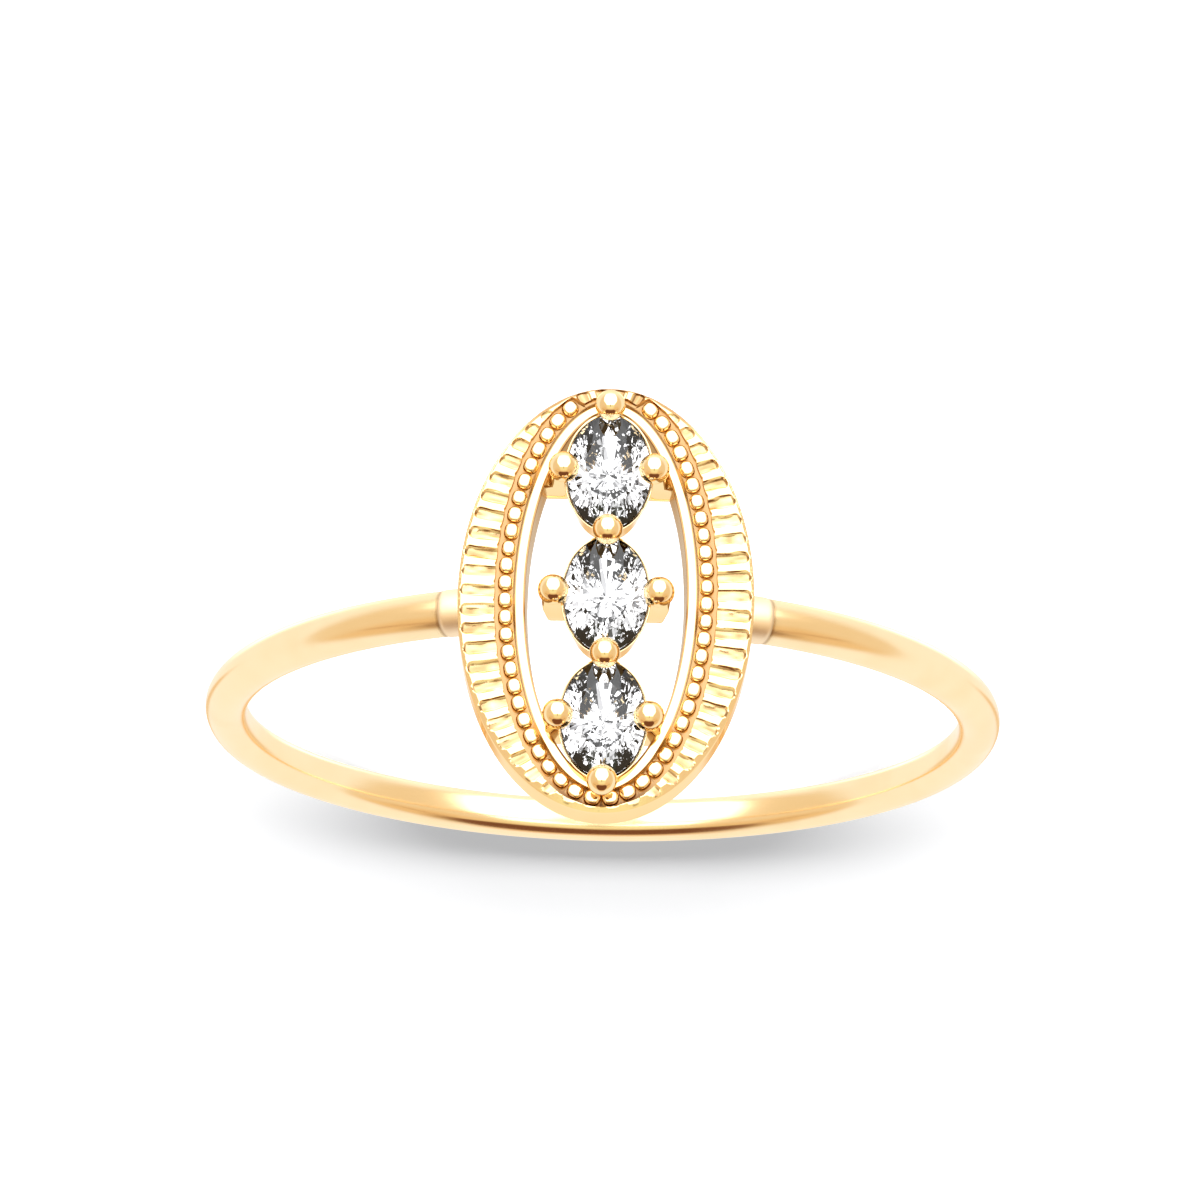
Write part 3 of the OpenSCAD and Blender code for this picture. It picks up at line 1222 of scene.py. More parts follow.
    def build_frame(self) -> bpy.types.Object:
        """Builds the frame as one closed band.

        Returns:
            The frame.
        """
        half = np.array(self.row_places)
        places = np.concatenate([half[:-1] - 1, (1 - half[1:])[::-1]])
        rows, notes = [], []
        for number in range(self.flute_count):
            for across in places:
                at = self.station(number, float(across))
                section = self.section(at)
                flat = self.bead_line(at.t) + section[:, :1] * self.bead_normal(at.t)
                rows.append(np.column_stack([flat, self.back_z + section[:, 1]]))
                notes.append(section[:, 2:])
        band = Shell().loft(np.array(rows)[:, ::-1], closed=True)
        frame_piece = band.build("medallion_frame", self.ring, sharp_angle=40)
        stain_and_shade, grain = np.array(notes)[:, ::-1].reshape(-1, 2).T
        note(frame_piece, "stain_and_shade", stain_and_shade)
        note(frame_piece, "cast", grain)
        return frame_piece

    def build_beads(self) -> bpy.types.Object:
        """Builds the row of beads, pressed a little square against each other.

        Returns:
            The beads as one piece.
        """
        shell = Shell()
        half_along = self.fine_length[-1] / self.bead_count / 2 - self.bead_half_gap
        top_z = self.back_z + self.height + self.bead_top
        for bead in range(self.bead_count):
            t = self.at_share((bead + 0.5) / self.bead_count)
            if self.reach(t) - self.bead_r < self.least_room:
                continue
            n = self.bead_normal(t)
            wide, long, high = 1 + self.bead_spread * self.random.uniform(-1, 1, 3)
            lean = self.bead_lean * self.random.uniform(-1, 1, 2)
            along = half_along * min(self.bead_limit, long) * np.array([n[1], -n[0], lean[0]])
            out = self.bead_r * min(self.bead_limit, wide) * np.array([n[0], n[1], lean[1]])
            up = self.bead_r * high * np.array([0.0, 0.0, 1.0])
            centre = np.append(self.bead_line(t), top_z - self.bead_r)
            shell.add(*turned(centre, (out, along, up), self.bead_profile, self.bead_steps, self.bead_square))
        beads = shell.build("beads", self.ring)
        below = (top_z - corners_of(beads, self.ring)[:, 2]) / self.bead_r
        # painted shade on the beads' feet
        note(beads, "stain_and_shade", self.bead_foot_shade * self.bed_shade * smooth(below, *self.foot_span))
        note(beads, "cast", np.ones(len(below)))
        return beads

    def build(self) -> list[bpy.types.Object]:
        """Builds the frame and the beads."""
        return [self.build_frame(), self.build_beads()]


def turned(
    centre: np.ndarray,
    axes: Sequence[np.ndarray],
    profile: Sequence[tuple[float, float]],
    around: int,
    square: float = 2.0,
) -> tuple[np.ndarray, list[tuple[int, ...]]]:
    """Corners and faces of a closed shape turned on its last axis.

    Args:
        centre: Its middle.
        axes: Its three half axes.
        profile: Reach from the last axis and height along it, from pole to pole.
        around: Number of corners round it.
        square: 2 for a round outline, more for one pressed square.

    Returns:
        The corners and the faces.
    """
    outline = circle(around)
    outline /= (np.abs(outline) ** square).sum(-1, keepdims=True) ** (1 / square)
    corners = [(0.0, 0.0, profile[0][1])]
    for reach, height in profile[1:-1]:
        corners += [(reach * c, reach * s, height) for c, s in outline]
    corners.append((0.0, 0.0, profile[-1][1]))
    last = len(corners) - 1
    faces = []
    for i in range(around):
        j = (i + 1) % around
        faces.append((0, 1 + i, 1 + j))
        for row in range(len(profile) - 3):
            a, b = 1 + row * around, 1 + (row + 1) * around
            faces.append((a + i, b + i, b + j, a + j))
        a = 1 + (len(profile) - 3) * around
        faces.append((last, a + j, a + i))
    return centre + np.array(corners) @ np.array(axes, float), faces


def soften(piece: bpy.types.Object, width: float) -> None:
    """Rounds a piece's edges.

    Args:
        piece: The piece.
        width: Width of the rounding, in millimetres.
    """
    least_turn, sharp_turn = math.radians(25), math.radians(50)
    mesh = bmesh.new()
    mesh.from_mesh(piece.data)
    edges = [e for e in mesh.edges if e.calc_face_angle(0.0) > least_turn]
    bmesh.ops.bevel(
        mesh, geom=edges, offset=width * MM, segments=3, profile=0.5, affect="EDGES", clamp_overlap=True
    )
    mesh.to_mesh(piece.data)
    mesh.free()
    piece.data.shade_smooth()
    piece.data.set_sharp_from_angle(angle=sharp_turn)


class Place(Enum):
    """Places of the stones along the row."""

    UPPER = 1
    MIDDLE = 0
    LOWER = -1

    @property
    def label(self) -> str:
        """The place's part of a piece's name."""
        return self.name.lower()


@dataclass(frozen=True)
class StoneCut:
    """The sizes of an oval brilliant, cut as a stretched round one so that every facet is flat.

    Attributes:
        half_w, half_l: Half of the girdle's width and length.
        girdle_t: Thickness of the girdle.
        crown_h, pavilion_h: Heights above and below the girdle.
        table: Size of the table, as a share of the girdle.
        star: Distance of the star facets' tips from the middle, as a share of the girdle.
        lower: Distance of the lower facets' tips from the middle, as a share of the girdle.
        folds: Number of facets of each kind round the stone.
    """

    half_w: float = 0.95
    half_l: float = 1.355
    girdle_t: float = 0.06
    crown_h: float = 0.3
    pavilion_h: float = 0.84
    table: float = 0.58
    star: float = 0.8
    lower: float = 0.22
    folds: int = 12


@dataclass
class Settings:
    """The three oval baskets and their ball claws.

    Attributes:
        ring: The ring's frame.
        cut: The sizes of the stones.
        back_z: Height of the back over the middle of the finger hole.
        pitch: Distance between neighbouring stones.
        girdle_z: Height of the girdles' lower edge above the back.
        wall: How far a basket stands out past its stone.
        wall_curve: 1 for a basket with straight sides, more for one that flares towards the stone.
        foot_share, hole_share: Sizes of a basket's foot and of its hole, as shares of its rim.
        rim: A basket's rim, as shares of its outline and heights over the girdles' lower edge.
        seat_share, seat_drop, seat_slope: Share of the outline, depth under the girdles' lower edge and
            slope of the line along which the seat runs down.
        ball_r: Radius of the balls.
        ball_z: Height of the balls' middles above the back.
        claw_r: Radius of the round claws.
        end_claw_out: How much further out the two claws at the ends of the row stand.
        pillar_w: Width of the flat claws.
        pillar_round: Rounding of their edges.
        claw_in: Inner side of the flat claws, as a share of a stone's half width.
        side_ball_x, middle_ball_x: Distances of the side balls from the row, at the end stones and at
            the middle one.
        frame_foot_x: Outer side of the end stones' flat claws, inside the frame.
        middle_foot, middle_bulge: How far the middle stone's flat claws reach past their balls, at the
            back and over it.
        shoulder_z: Heights above the back of the flat claws' shoulder.
        collet_steps, claw_steps, ball_steps: Number of corners round a basket, a round claw and a ball.
        ball_rows: Number of rows of a ball, from pole to pole.
        shade_beside, shade_crown, shade_under: Stretches over which the painted shade by a stone fades
            outside its outline, towards its crown's skin, and below its pavilion.
        shade_cone, shade_depth: Height of the cone that the painted shade follows under a stone, and how
            far below the cone it reaches.
    """

    ring: RingFrame
    cut: StoneCut = StoneCut()
    back_z: float = 8.7
    pitch: float = 2.93
    girdle_z: float = 1.31
    wall: float = 0.08
    wall_curve: float = 1.1
    foot_share: float = 0.84
    hole_share: float = 0.62
    rim: Pairs = (
        (1.0, -0.01), (0.997, 0.004), (0.99, 0.01), (0.982, 0.008), (0.96, -0.004), (0.942, -0.016),
        (0.936, -0.026),
    )
    seat_share: float = 0.95
    seat_drop: float = 0.055
    seat_slope: float = 0.91931
    ball_r: float = 0.35
    ball_z: float = 1.65
    claw_r: float = 0.22
    end_claw_out: float = 0.05
    pillar_w: float = 0.5
    pillar_round: float = 0.07
    claw_in: float = 0.95
    side_ball_x: float = 1.03
    middle_ball_x: float = 1.2
    frame_foot_x: float = 1.67
    middle_foot: float = 0.12
    middle_bulge: float = 0.24
    shoulder_z: tuple[float, float] = (0.8, 0.9)
    collet_steps: int = 112
    claw_steps: int = 40
    ball_steps: int = 48
    ball_rows: int = 33
    shade_beside: tuple[float, float] = (1.003, 1.035)
    shade_crown: tuple[float, float] = (-0.05, -0.01)
    shade_under: tuple[float, float] = (-0.02, 0.02)
    shade_cone: float = 0.86
    shade_depth: float = 0.14

    def ball_x(self, place: Place) -> float:
        """Distance of a stone's side balls from the row."""
        return self.middle_ball_x if place is Place.MIDDLE else self.side_ball_x

    def build_collet(self, place: Place) -> bpy.types.Object:
        """Builds the basket under one stone, open at the back, with a seat for the pavilion.

        Args:
            place: The stone's place along the row.

        Returns:
            The basket.
        """
        top, foot, hole = self.girdle_z, self.foot_share, self.hole_share
        section = [(foot + (1 - foot) * s**self.wall_curve, top * s) for s in np.linspace(0.02, 0.96, 12)]
        section += [(share, top + rise) for share, rise in self.rim]
        seat_z = top - self.seat_drop
        for share in np.linspace(0.92, hole + 0.02, 8):
            section.append((share, seat_z - (self.seat_share - share) * self.seat_slope))
        section += [(hole, section[-1][1] - 0.03), (hole, 0.4), (hole, 0.03)]
        section += [(hole + 0.02, 0.0), (foot - 0.02, 0.0)]
        share, height = np.array(section).T
        half = np.array([self.cut.half_w + self.wall, self.cut.half_l + self.wall])
        rows = []
        for direction in circle(self.collet_steps):
            flat = share[:, None] * direction * half + [0, place.value * self.pitch]
            rows.append(np.column_stack([flat, self.back_z + height]))
        basket = Shell().loft(np.array(rows), closed=True)
        return basket.build(f"collet_{place.label}", self.ring, sharp_angle=50)

    def stain_and_shade(self, points: np.ndarray) -> np.ndarray:
        """How dark the metal is close to the stones: painted shade in the seats and under the stones.

        Args:
            points: Points of the ring's frame.

        Returns:
            A value from 0 to 1 for each point.
        """
        cut = self.cut
        place = np.clip(np.round(points[:, 1] / self.pitch), -1, 1)
        x, y = points[:, 0] / cut.half_w, (points[:, 1] - place * self.pitch) / cut.half_l
        share, height = np.hypot(x, y), points[:, 2] - self.back_z - self.girdle_z
        crown = cut.girdle_t + cut.crown_h * np.clip((1 - share) / (1 - cut.table), 0, 1)
        cone = -self.shade_cone * (1 - share) - self.shade_depth
        beside = 1 - smooth(share, *self.shade_beside)
        under_crown = 1 - smooth(height - crown, *self.shade_crown)
        return beside * under_crown * smooth(height - cone, *self.shade_under)

    def build_round_claws(self) -> bpy.types.Object:
        """Builds the four claws on the long axis, turned in one with their balls.

        Returns:
            The claws as one piece.
        """
        shell = Shell()
        neck = math.degrees(math.asin(self.claw_r / self.ball_r))
        ball = [(self.ball_r * s, self.ball_z - self.ball_r * c) for c, s in arc(neck + 8, 180, 22)]
        neck_z = ball[0][1]
        profile = [(self.claw_r * 0.9, 0.0), (self.claw_r, 0.03), (self.claw_r, 0.6), (self.claw_r, 1.1)]
        profile += [(self.claw_r + 0.002, neck_z - 0.06), (self.claw_r + 0.02, neck_z - 0.015)]
        profile += ball[:-1]
        for place in (-1.5, -0.5, 0.5, 1.5):
            y = place * self.pitch
            if abs(place) > 1:
                y += math.copysign(self.end_claw_out, place)
            around = circle(self.claw_steps)
            rows = [[(r * c, y + r * s, self.back_z + z) for c, s in around] for r, z in profile]
            shell.loft(np.array(rows))
        return shell.build("round_claws", self.ring, sharp_angle=50)

    def flat_claw_outline(self, place: Place) -> Pairs:
        """Outline of a stone's flat claws.

        Args:
            place: The stone's place along the row.

        Returns:
            Corners as X and height above the back.
        """
        ball_x, ball_z, r = self.ball_x(place), self.ball_z, self.ball_r
        inside = self.cut.half_w * self.claw_in
        foot_x = bulge_x = self.frame_foot_x
        if place is Place.MIDDLE:
            foot_x, bulge_x = ball_x + self.middle_foot, ball_x + self.middle_bulge
        return (
            (inside, 0.0),
            (foot_x, 0.0),
            (bulge_x, self.shoulder_z[0]),
            (min(bulge_x, ball_x + 0.8 * r), self.shoulder_z[1]),
            (ball_x + 0.75 * r, ball_z - 0.3 * r),
            (ball_x, ball_z),
            (inside, ball_z - 0.5 * r),
        )

    def build_flat_claws(self, place: Place) -> bpy.types.Object:
        """Builds the two flat claws at a stone's sides.

        Args:
            place: The stone's place along the row.

        Returns:
            The claws as one piece.
        """
        y, half = place.value * self.pitch, self.pillar_w / 2
        shell = Shell()
        for side in (1, -1):
            corners = [(side * x, self.back_z + z) for x, z in self.flat_claw_outline(place)][::side]
            shell.loft(np.array([[(x, end, z) for x, z in corners] for end in (y + half, y - half)]))
        piece = shell.build(f"flat_claws_{place.label}", self.ring)
        soften(piece, self.pillar_round)
        return piece

    def build_side_balls(self) -> bpy.types.Object:
        """Builds the six balls on the flat claws.

        Returns:
            The balls as one piece.
        """
        shell = Shell()
        axes = np.eye(3) * self.ball_r
        sphere = [(s, c) for c, s in arc(0, 180, self.ball_rows)]
        for place in reversed(Place):
            for side in (-1, 1):
                centre = (side * self.ball_x(place), place.value * self.pitch, self.back_z + self.ball_z)
                shell.add(*turned(np.array(centre), axes, sphere, self.ball_steps))
        return shell.build("side_balls", self.ring)

    def build(self) -> list[bpy.types.Object]:
        """Builds the baskets and the claws.

        Returns:
            The baskets, the round claws, the side balls and the flat claws.
        """
        collets = [self.build_collet(place) for place in reversed(Place)]
        flat_claws = [self.build_flat_claws(place) for place in reversed(Place)]
        # painted shade on the metal close to the stones
        with_shade = [*collets, self.build_round_claws(), self.build_side_balls()]
        for piece in with_shade:
            note(piece, "stain_and_shade", self.stain_and_shade(corners_of(piece, self.ring)))
        return with_shade + flat_claws


@dataclass
class OvalStone:
    """One of the three cut stones.

    Attributes:
        ring: The ring's frame.
        settings: The settings that the stone stands in.
        place: The stone's place along the row.
    """

    ring: RingFrame
    settings: Settings
    place: Place

    @property
    def cut(self) -> StoneCut:
        """The stone's sizes."""
        return self.settings.cut

    @property
    def tips(self) -> tuple[float, float]:
        """Heights of the star facets' tips and of the lower facets' tips, so that each facet is flat.

        Returns:
            The two heights.
        """
        cut, spread = self.cut, math.cos(math.pi / self.cut.folds)
        star_z = cut.crown_h * (1 - cut.star * spread) / (1 - cut.table) + cut.girdle_t
        return star_z, -cut.pavilion_h * (1 - cut.lower * spread)

    def corner(self, reach: float, step: float, z: float) -> Point:
        """A corner at a share of the girdle's size and a step of half a fold."""
        angle = math.pi / self.cut.folds * step
        return (reach * math.cos(angle), reach * math.sin(angle), z)

    def facets(self) -> list[list[Point]]:
        """The table, and the star, bezel, main, upper, lower and girdle facets of each fold.

        Returns:
            The facets as lists of corners.
        """
        cut, corner = self.cut, self.corner
        star_z, lower_z = self.tips
        top = cut.crown_h + cut.girdle_t
        made = [[corner(cut.table, 2 * k + 1, top) for k in range(cut.folds)]]
        for a in range(1, 2 * cut.folds, 2):
            table, star = corner(cut.table, a, top), corner(cut.star, a + 1, star_z)
            last_star = corner(cut.star, a - 1, star_z)
            made.append([table, star, corner(cut.table, a + 2, top)])
            made.append([table, last_star, corner(1, a, cut.girdle_t), star])
            made.append([corner(0, 0, -cut.pavilion_h), corner(cut.lower, a + 1, lower_z),
                         corner(1, a, 0), corner(cut.lower, a - 1, lower_z)])
            for side in (-1, 1):
                made += self.girdle_facets(a, side)
        return made

    def girdle_facets(self, a: int, side: int) -> list[list[Point]]:
        """The facets that meet one stretch of the girdle.

        Args:
            a: Step at which the stretch starts.
            side: Way round in which it runs.

        Returns:
            The upper facet, the lower facet and the girdle's own faces.
        """
        star_z, lower_z = self.tips
        steps = [a + side * s for s in (0.0, 0.25, 0.5, 0.75, 1.0)]
        upper_tip = self.corner(self.cut.star, a + side, star_z)
        lower_tip = self.corner(self.cut.lower, a + side, lower_z)
        upper = self.rim(upper_tip, steps, self.cut.girdle_t)
        lower = self.rim(lower_tip, steps, 0.0)
        faces = [[upper_tip, *upper], [lower_tip, *lower]]
        for i in range(len(steps) - 1):
            faces.append([upper[i], upper[i + 1], lower[i + 1], lower[i]])
        return faces

    def rim(self, tip: Point, steps: Sequence[float], z: float) -> list[Point]:
        """Corners on the girdle's oval that lie in the plane of a facet.

        Args:
            tip: The facet's corner off the girdle.
            steps: Steps of the corners. The first and the last have the height z.
            z: Height of the end corners.

        Returns:
            The corners.
        """
        first, last = (np.array(self.corner(1, s, z)) for s in (steps[0], steps[-1]))
        normal = np.cross(first - tip, last - tip)
        corners = [tuple(first)]
        for s in steps[1:-1]:
            x, y, _ = self.corner(1, s, 0)
            drop = (normal[0] * (x - first[0]) + normal[1] * (y - first[1])) / normal[2]
            corners.append((x, y, z - drop))
        return corners + [tuple(last)]

    def build(self) -> bpy.types.Object:
        """Builds the stone from its facets, and notes its pavilion.

        Returns:
            The stone.
        """
        girdle_z = self.settings.back_z + self.settings.girdle_z
        half = np.array([self.cut.half_w, self.cut.half_l, 1.0])
        shift = np.array([0, self.place.value * self.settings.pitch, girdle_z])
        shell = Shell()
        for facet in self.facets():
            shell.add(np.array(facet) * half + shift, [tuple(range(len(facet)))])
        piece = shell.build(f"oval_stone_{self.place.label}", self.ring, sharp_angle=0)
        mesh = bmesh.new()
        mesh.from_mesh(piece.data)
        bmesh.ops.remove_doubles(mesh, verts=mesh.verts, dist=1e-7)
        bmesh.ops.recalc_face_normals(mesh, faces=mesh.faces)
        mesh.to_mesh(piece.data)
        mesh.free()
        height = corners_of(piece, self.ring)[:, 2] - girdle_z
        note(piece, "pavilion", smooth(height, 0.02, -0.02))
        return piece


@dataclass(frozen=True)
class Card:
    """A soft-edged card of the studio's surroundings, as the metal mirrors it.

    A turn runs in the plane of the finger hole's axis and the plumb line, in degrees: 0 is level in
    front of the ring, 90 is straight up and 180 is level behind. A reach runs sideways, as the sine
    of the angle off that plane.

    Attributes:
        light: Colour and strength of the card.
        edge: The card's half width at some turns, as (turn, reach) from its lower to its upper end.
        soft: Width of the soft edge at the lower and the upper end, in degrees.
        soft_side: Width of the soft edge at the sides.
        middle: Reach of the card's middle line.
    """

    light: Colour
    edge: Pairs
    soft: tuple[float, float]
    soft_side: float
    middle: float = 0.0

    def mask(
        self, graph: Graph, turn: bpy.types.NodeSocket, reach: bpy.types.NodeSocket
    ) -> bpy.types.NodeSocket:
        """Works out where the card lies.

        Args:
            graph: The graph to add to.
            turn: The direction's turn, in degrees.
            reach: The direction's reach.

        Returns:
            1 on the card and 0 off it.
        """
        first, last = self.edge[0][0], self.edge[-1][0]
        begun = graph.step(turn, first - self.soft[0], first + self.soft[0])
        ended = graph.step(turn, last - self.soft[1], last + self.soft[1])
        aside = graph.math("ABSOLUTE", graph.math("SUBTRACT", reach, self.middle))
        room = graph.math("SUBTRACT", graph.curve(turn, self.edge), aside)
        within = graph.step(room, -self.soft_side, self.soft_side)
        return graph.math("MULTIPLY", within, graph.math("SUBTRACT", begun, ended))


# what the metal mirrors, each card over the ones before it
METAL_SIDES = (1.1, 1.12, 1.15)
METAL_CARDS = (
    # the room's warm walls, over and in front of the ring
    Card((0.95, 0.80, 0.60), ((-62, 1.3), (118, 1.3)), (24, 7), 0.05),
    Card((0.93, 0.69, 0.42), ((52, 0.88), (112, 0.88)), (16, 5), 0.1),
    Card((1.05, 1.04, 0.72), ((34, 0.5), (62, 0.4)), (4, 8), 0.15),
    # the pale table under the ring, two lit strips on it, and a warm strip behind
    Card((1.25, 1.27, 1.3), ((-128, 0.5), (-72, 0.6)), (10, 16), 0.2),
    Card((2.2, 2.2, 2.2), ((-134, 0.13), (-112, 0.13)), (7, 8), 0.12, middle=0.38),
    Card((2.2, 2.2, 2.2), ((-134, 0.13), (-112, 0.13)), (7, 8), 0.12, middle=-0.38),
    Card((0.93, 0.70, 0.42), ((-159, 0.72), (-152, 0.72)), (2.5, 2.5), 0.12),
    # the broad lamp below the camera
    Card((3.0, 3.0, 3.0), ((-66, 0.40), (-40, 0.64), (-15, 0.72), (3, 0.69), (33, 0.47)), (14, 2.5), 0.035),
    # the dark gap over the camera, its lower lip and its lit upper edge
    Card((0.55, 0.3, 0.15), ((79, 0.86), (84, 0.86)), (1.5, 1.5), 0.03),
    Card((0.95, 0.64, 0.38), ((108, 0.34), (126, 0.22)), (4, 4), 0.12),
    Card((0.2, 0.08, 0.04), ((71, 0.46), (84, 0.57), (96, 0.56), (108, 0.42), (116, 0.28)), (5, 3.5), 0.06),
    # the lens
    Card((0.25, 0.09, 0.04), ((29.5, 0.05), (36, 0.035), (48, 0.01)), (1, 4), 0.02),
)


@dataclass
class Studio:
    """The floor, the surroundings, the soft light and the camera.

    Attributes:
        ring: The ring's frame.
        elevation: Tilt of the camera over the finger's axis, in degrees.
        azimuth, roll: The camera's turns round the ring and round its own axis, in degrees.
        distance: Distance of the camera from the middle of the finger hole, in millimetres.
        shift_x, shift_y: The camera's offset to the side and upwards, in millimetres.
        focal_px: Focal length, in pixels of a picture that is picture_px wide.
        picture_px: Width of the picture that the focal length was measured in, in pixels.
        sensor_mm: Width of the camera's sensor, in millimetres.
        nearest: Distance in front of the camera from which things show, in metres.
        floor_half: Half of the floor's width, in metres.
        floor_tint: Colour of the floor.
        room_light: The plain light that falls on the floor from all sides.
        glow_tint: Colour of the floor's own glow.
        inner_painted_glow, table_glow: How bright the floor glows inside the hoop, a painted pool of light,
            and outside it.
        glow_y: Place of the glow's middle on the floor, in millimetres behind the ring's middle.
        glow_r: Distances from there between which the inner glow fades, in millimetres.
        sparkle_scale: How small the patches are that the stones throw back.
        sparkle_steps: Shares of the patches, and how bright each share of them is.
        sparkle_tint: Colour of the patches.
        panel_size: Width and height of the soft lamp, in metres.
        panel_place: Place of the soft lamp, in metres.
        panel_power: Power of the soft lamp, in watts.
    """

    ring: RingFrame
    elevation: float = 72.45
    azimuth: float = -0.1
    roll: float = 1.46
    distance: float = 149.13
    shift_x: float = -0.06
    shift_y: float = 2.908
    focal_px: float = 6162.0
    picture_px: float = 1200.0
    sensor_mm: float = 36.0
    nearest: float = 0.01
    floor_half: float = 0.8
    floor_tint: Colour = (0.96, 0.96, 0.965)
    room_light: Colour = (0.15, 0.15, 0.152)
    glow_tint: Colour = (0.99, 0.995, 1.0)
    inner_painted_glow: float = 0.95
    table_glow: float = 0.35
    glow_y: float = 1.07
    glow_r: tuple[float, float] = (8.7, 9.6)
    sparkle_scale: float = 8.0
    sparkle_steps: Pairs = ((0.0, 0.004), (0.13, 0.1), (0.2, 0.42), (0.32, 0.85), (0.47, 2.2))
    sparkle_tint: Colour = (1.0, 1.0, 1.02)
    panel_size: tuple[float, float] = (0.34, 0.07)
    panel_place: Point = (0.0, -0.25, 0.064)
    panel_power: float = 3.7

    def build_camera(self) -> None:
        """Places the camera at the photograph's angle to the ring."""
        tilt, turn = math.radians(self.elevation), Matrix.Rotation(math.radians(self.azimuth), 3, "Z")
        back = turn @ Vector((0, -math.cos(tilt), math.sin(tilt)))
        right = turn @ Vector((1, 0, 0))
        up = back.cross(right)
        c, s = math.cos(math.radians(self.roll)), math.sin(math.radians(self.roll))
        right, up = c * right + s * up, c * up - s * right
        eye = back * self.distance + right * self.shift_x + up * self.shift_y
        lens = bpy.data.cameras.new("camera")
        lens.sensor_width = self.sensor_mm
        lens.lens = self.focal_px / self.picture_px * self.sensor_mm
        lens.clip_start = self.nearest
        camera = place_in_scene("camera", lens)
        axes = [self.ring.turn(axis) for axis in (right, up, back)]
        camera.matrix_world = Matrix.Translation(self.ring.lay_down(eye)) @ Matrix(axes).transposed().to_4x4()
        bpy.context.scene.camera = camera

    def build_floor(self) -> None:
        """Lays the plain pale floor. Metal and stones mirror the painted surroundings in its place."""
        r = self.floor_half
        mesh = bpy.data.meshes.new("floor")
        mesh.from_pydata([(-r, -r, 0), (r, -r, 0), (r, r, 0), (-r, r, 0)], [], [(0, 1, 2, 3)])
        mesh.materials.append(self.floor_material())
        floor = place_in_scene("floor", mesh)
        floor.visible_glossy = False
        floor.visible_transmission = False

    def floor_material(self) -> bpy.types.Material:
        """Plain matt white card that glows, brighter inside the hoop: a painted pool of light that hides the
        ring's shadow there.

        Returns:
            The material.
        """
        made, graph, shader = new_material("floor_white")
        shader.inputs["Base Color"].default_value = (*self.floor_tint, 1.0)
        shader.inputs["Roughness"].default_value = 1.0
        shader.inputs["Specular IOR Level"].default_value = 0.0
        x, y, _ = graph.split(graph.node("ShaderNodeTexCoord").outputs["Object"])
        y = graph.math("SUBTRACT", y, self.glow_y * MM)
        squares = [graph.math("MULTIPLY", part, part) for part in (x, y)]
        away = graph.math("SQRT", graph.math("ADD", *squares))
        outside = graph.step(away, self.glow_r[0] * MM, self.glow_r[1] * MM)
        glows = ([glow * part for part in self.glow_tint] for glow in (self.inner_painted_glow, self.table_glow))
        near, far = ((*glow, 1.0) for glow in glows)
        graph.feed(shader.inputs["Emission Color"], graph.blend(outside, near, far))
        shader.inputs["Emission Strength"].default_value = 1.0
        return made

    def mirrored_room(self, graph: Graph) -> bpy.types.NodeSocket:
        """Paints what the metal mirrors, by direction.

        Args:
            graph: The graph to add to.

        Returns:
            The colour.
        """
        x, y, z = graph.split(graph.node("ShaderNodeTexCoord").outputs["Generated"])
        turn = graph.math("ARCTAN2", z, graph.math("MULTIPLY", y, -1.0))
        degrees = graph.math("MULTIPLY", turn, 180 / math.pi)
        colour: object = (*METAL_SIDES, 1.0)
        for card in METAL_CARDS:
            colour = graph.blend(card.mask(graph, degrees, x), colour, (*card.light, 1.0))
        return colour

    def sparkle(self, graph: Graph) -> bpy.types.NodeSocket:
        """Paints what the stones throw back: a busy room in crisp patches from black to white.

        Args:
            graph: The graph to add to.

        Returns:
            The colour.
        """
        cells = graph.node("ShaderNodeTexVoronoi")
        graph.feed(cells.inputs["Vector"], graph.node("ShaderNodeTexCoord").outputs["Generated"])
        cells.inputs["Scale"].default_value = self.sparkle_scale
        draw = graph.node("ShaderNodeSeparateColor")
        graph.feed(draw.inputs[0], cells.outputs["Color"])
        ramp = graph.node("ShaderNodeValToRGB")
        ramp.color_ramp.interpolation = "CONSTANT"
        while len(ramp.color_ramp.elements) < len(self.sparkle_steps):
            ramp.color_ramp.elements.new(0.5)
        for element, (start, light) in zip(ramp.color_ramp.elements, self.sparkle_steps):
            element.position = start
            element.color = (*(light * part for part in self.sparkle_tint), 1.0)
        graph.feed(ramp.inputs[0], draw.outputs[0])
        return ramp.outputs[0]

    def build_surroundings(self) -> None:
        """Builds the surroundings: painted for metal and stones, plain for the floor's own light."""
        world = bpy.data.worlds.new("studio")
        world.use_nodes = True
        world.node_tree.nodes.clear()
        graph = Graph(world.node_tree)
        path = graph.node("ShaderNodeLightPath")
        metal = self.mirrored_room(graph)
        stone = self.sparkle(graph)
        first = graph.math("LESS_THAN", path.outputs["Diffuse Depth"], 0.5)
        mirrored = graph.math("MULTIPLY", path.outputs["Is Glossy Ray"], first)
        seen = graph.blend(mirrored, (*self.room_light, 1.0), metal)
        through = graph.math("MULTIPLY", path.outputs["Is Transmission Ray"], first)
        seen = graph.blend(through, seen, stone)
        seen = graph.blend(path.outputs["Is Camera Ray"], seen, (1.0, 1.0, 1.0, 1.0))
        background = graph.node("ShaderNodeBackground")
        graph.feed(background.inputs["Color"], seen)
        end = graph.node("ShaderNodeOutputWorld")
        graph.feed(end.inputs["Surface"], background.outputs[0])
        bpy.context.scene.world = world

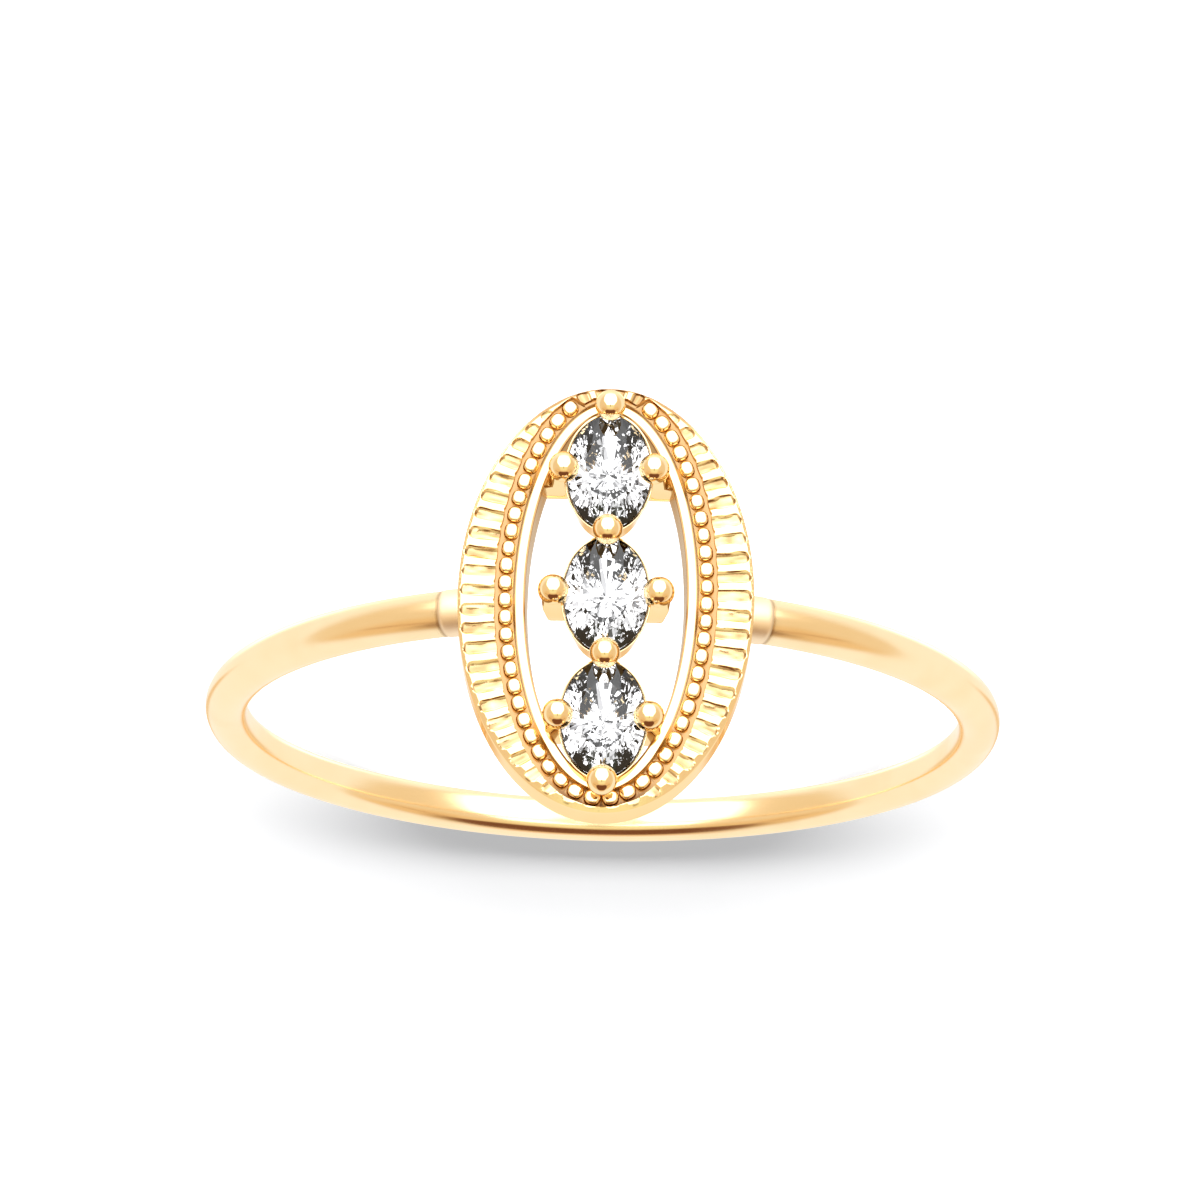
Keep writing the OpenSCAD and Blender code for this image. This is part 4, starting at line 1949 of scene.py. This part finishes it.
    def build_panel(self) -> None:
        """Hangs the broad, low lamp in front. It doesn't show, and nothing mirrors it."""
        lamp = bpy.data.lights.new("front_panel", "AREA")
        lamp.shape = "RECTANGLE"
        lamp.size, lamp.size_y = self.panel_size
        lamp.energy = self.panel_power
        panel = place_in_scene("front_panel", lamp)
        place = Vector(self.panel_place)
        panel.matrix_world = Matrix.Translation(place) @ place.to_track_quat("Z", "Y").to_matrix().to_4x4()
        panel.visible_glossy = False
        panel.visible_transmission = False
        panel.visible_camera = False

    def build(self) -> None:
        """Builds the whole studio."""
        self.build_camera()
        self.build_floor()
        self.build_surroundings()
        self.build_panel()
        bpy.context.scene.view_settings.view_transform = "Standard"


def dress(piece: bpy.types.Object, finish: bpy.types.Material, slot: Slot, node: Node) -> None:
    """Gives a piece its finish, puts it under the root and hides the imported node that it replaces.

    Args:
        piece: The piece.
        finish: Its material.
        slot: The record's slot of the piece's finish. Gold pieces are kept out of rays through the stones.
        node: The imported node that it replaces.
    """
    piece.data.materials.clear()
    piece.data.materials.append(finish)
    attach(piece, "root")
    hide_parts(node.value)
    if slot is Slot.GOLD:
        piece.visible_transmission = False
    LOG.info("%s: %d faces", piece.name, len(piece.data.polygons))


def main() -> None:
    """Builds the ring and the studio, and logs each piece's number of faces."""
    logging.basicConfig(level=logging.INFO, format="%(name)s: %(message)s")
    ring = RingFrame.from_record(frame["record"])
    Studio(ring).build()
    effects = Effects.build()
    golds = (POLISHED_GOLD, DRAWN_GOLD, SOLDERED_GOLD, CAST_GOLD)
    polished, drawn, soldered, cast = (finish.material(effects) for finish in golds)
    clear = CLEAR_STONE.material(effects)
    settings = Settings(ring)
    wire, *collars = Hoop(ring).build()
    dress(wire, drawn, Slot.GOLD, Node.METAL)
    for piece in collars:
        dress(piece, soldered, Slot.GOLD, Node.METAL)
    for piece in settings.build():
        dress(piece, polished, Slot.GOLD, Node.METAL)
    for piece in Medallion(ring).build():
        dress(piece, cast, Slot.GOLD, Node.METAL)
    for place in Place:
        dress(OvalStone(ring, settings, place).build(), clear, Slot.STONE, Node[place.name])


if __name__ == "__main__":
    main()
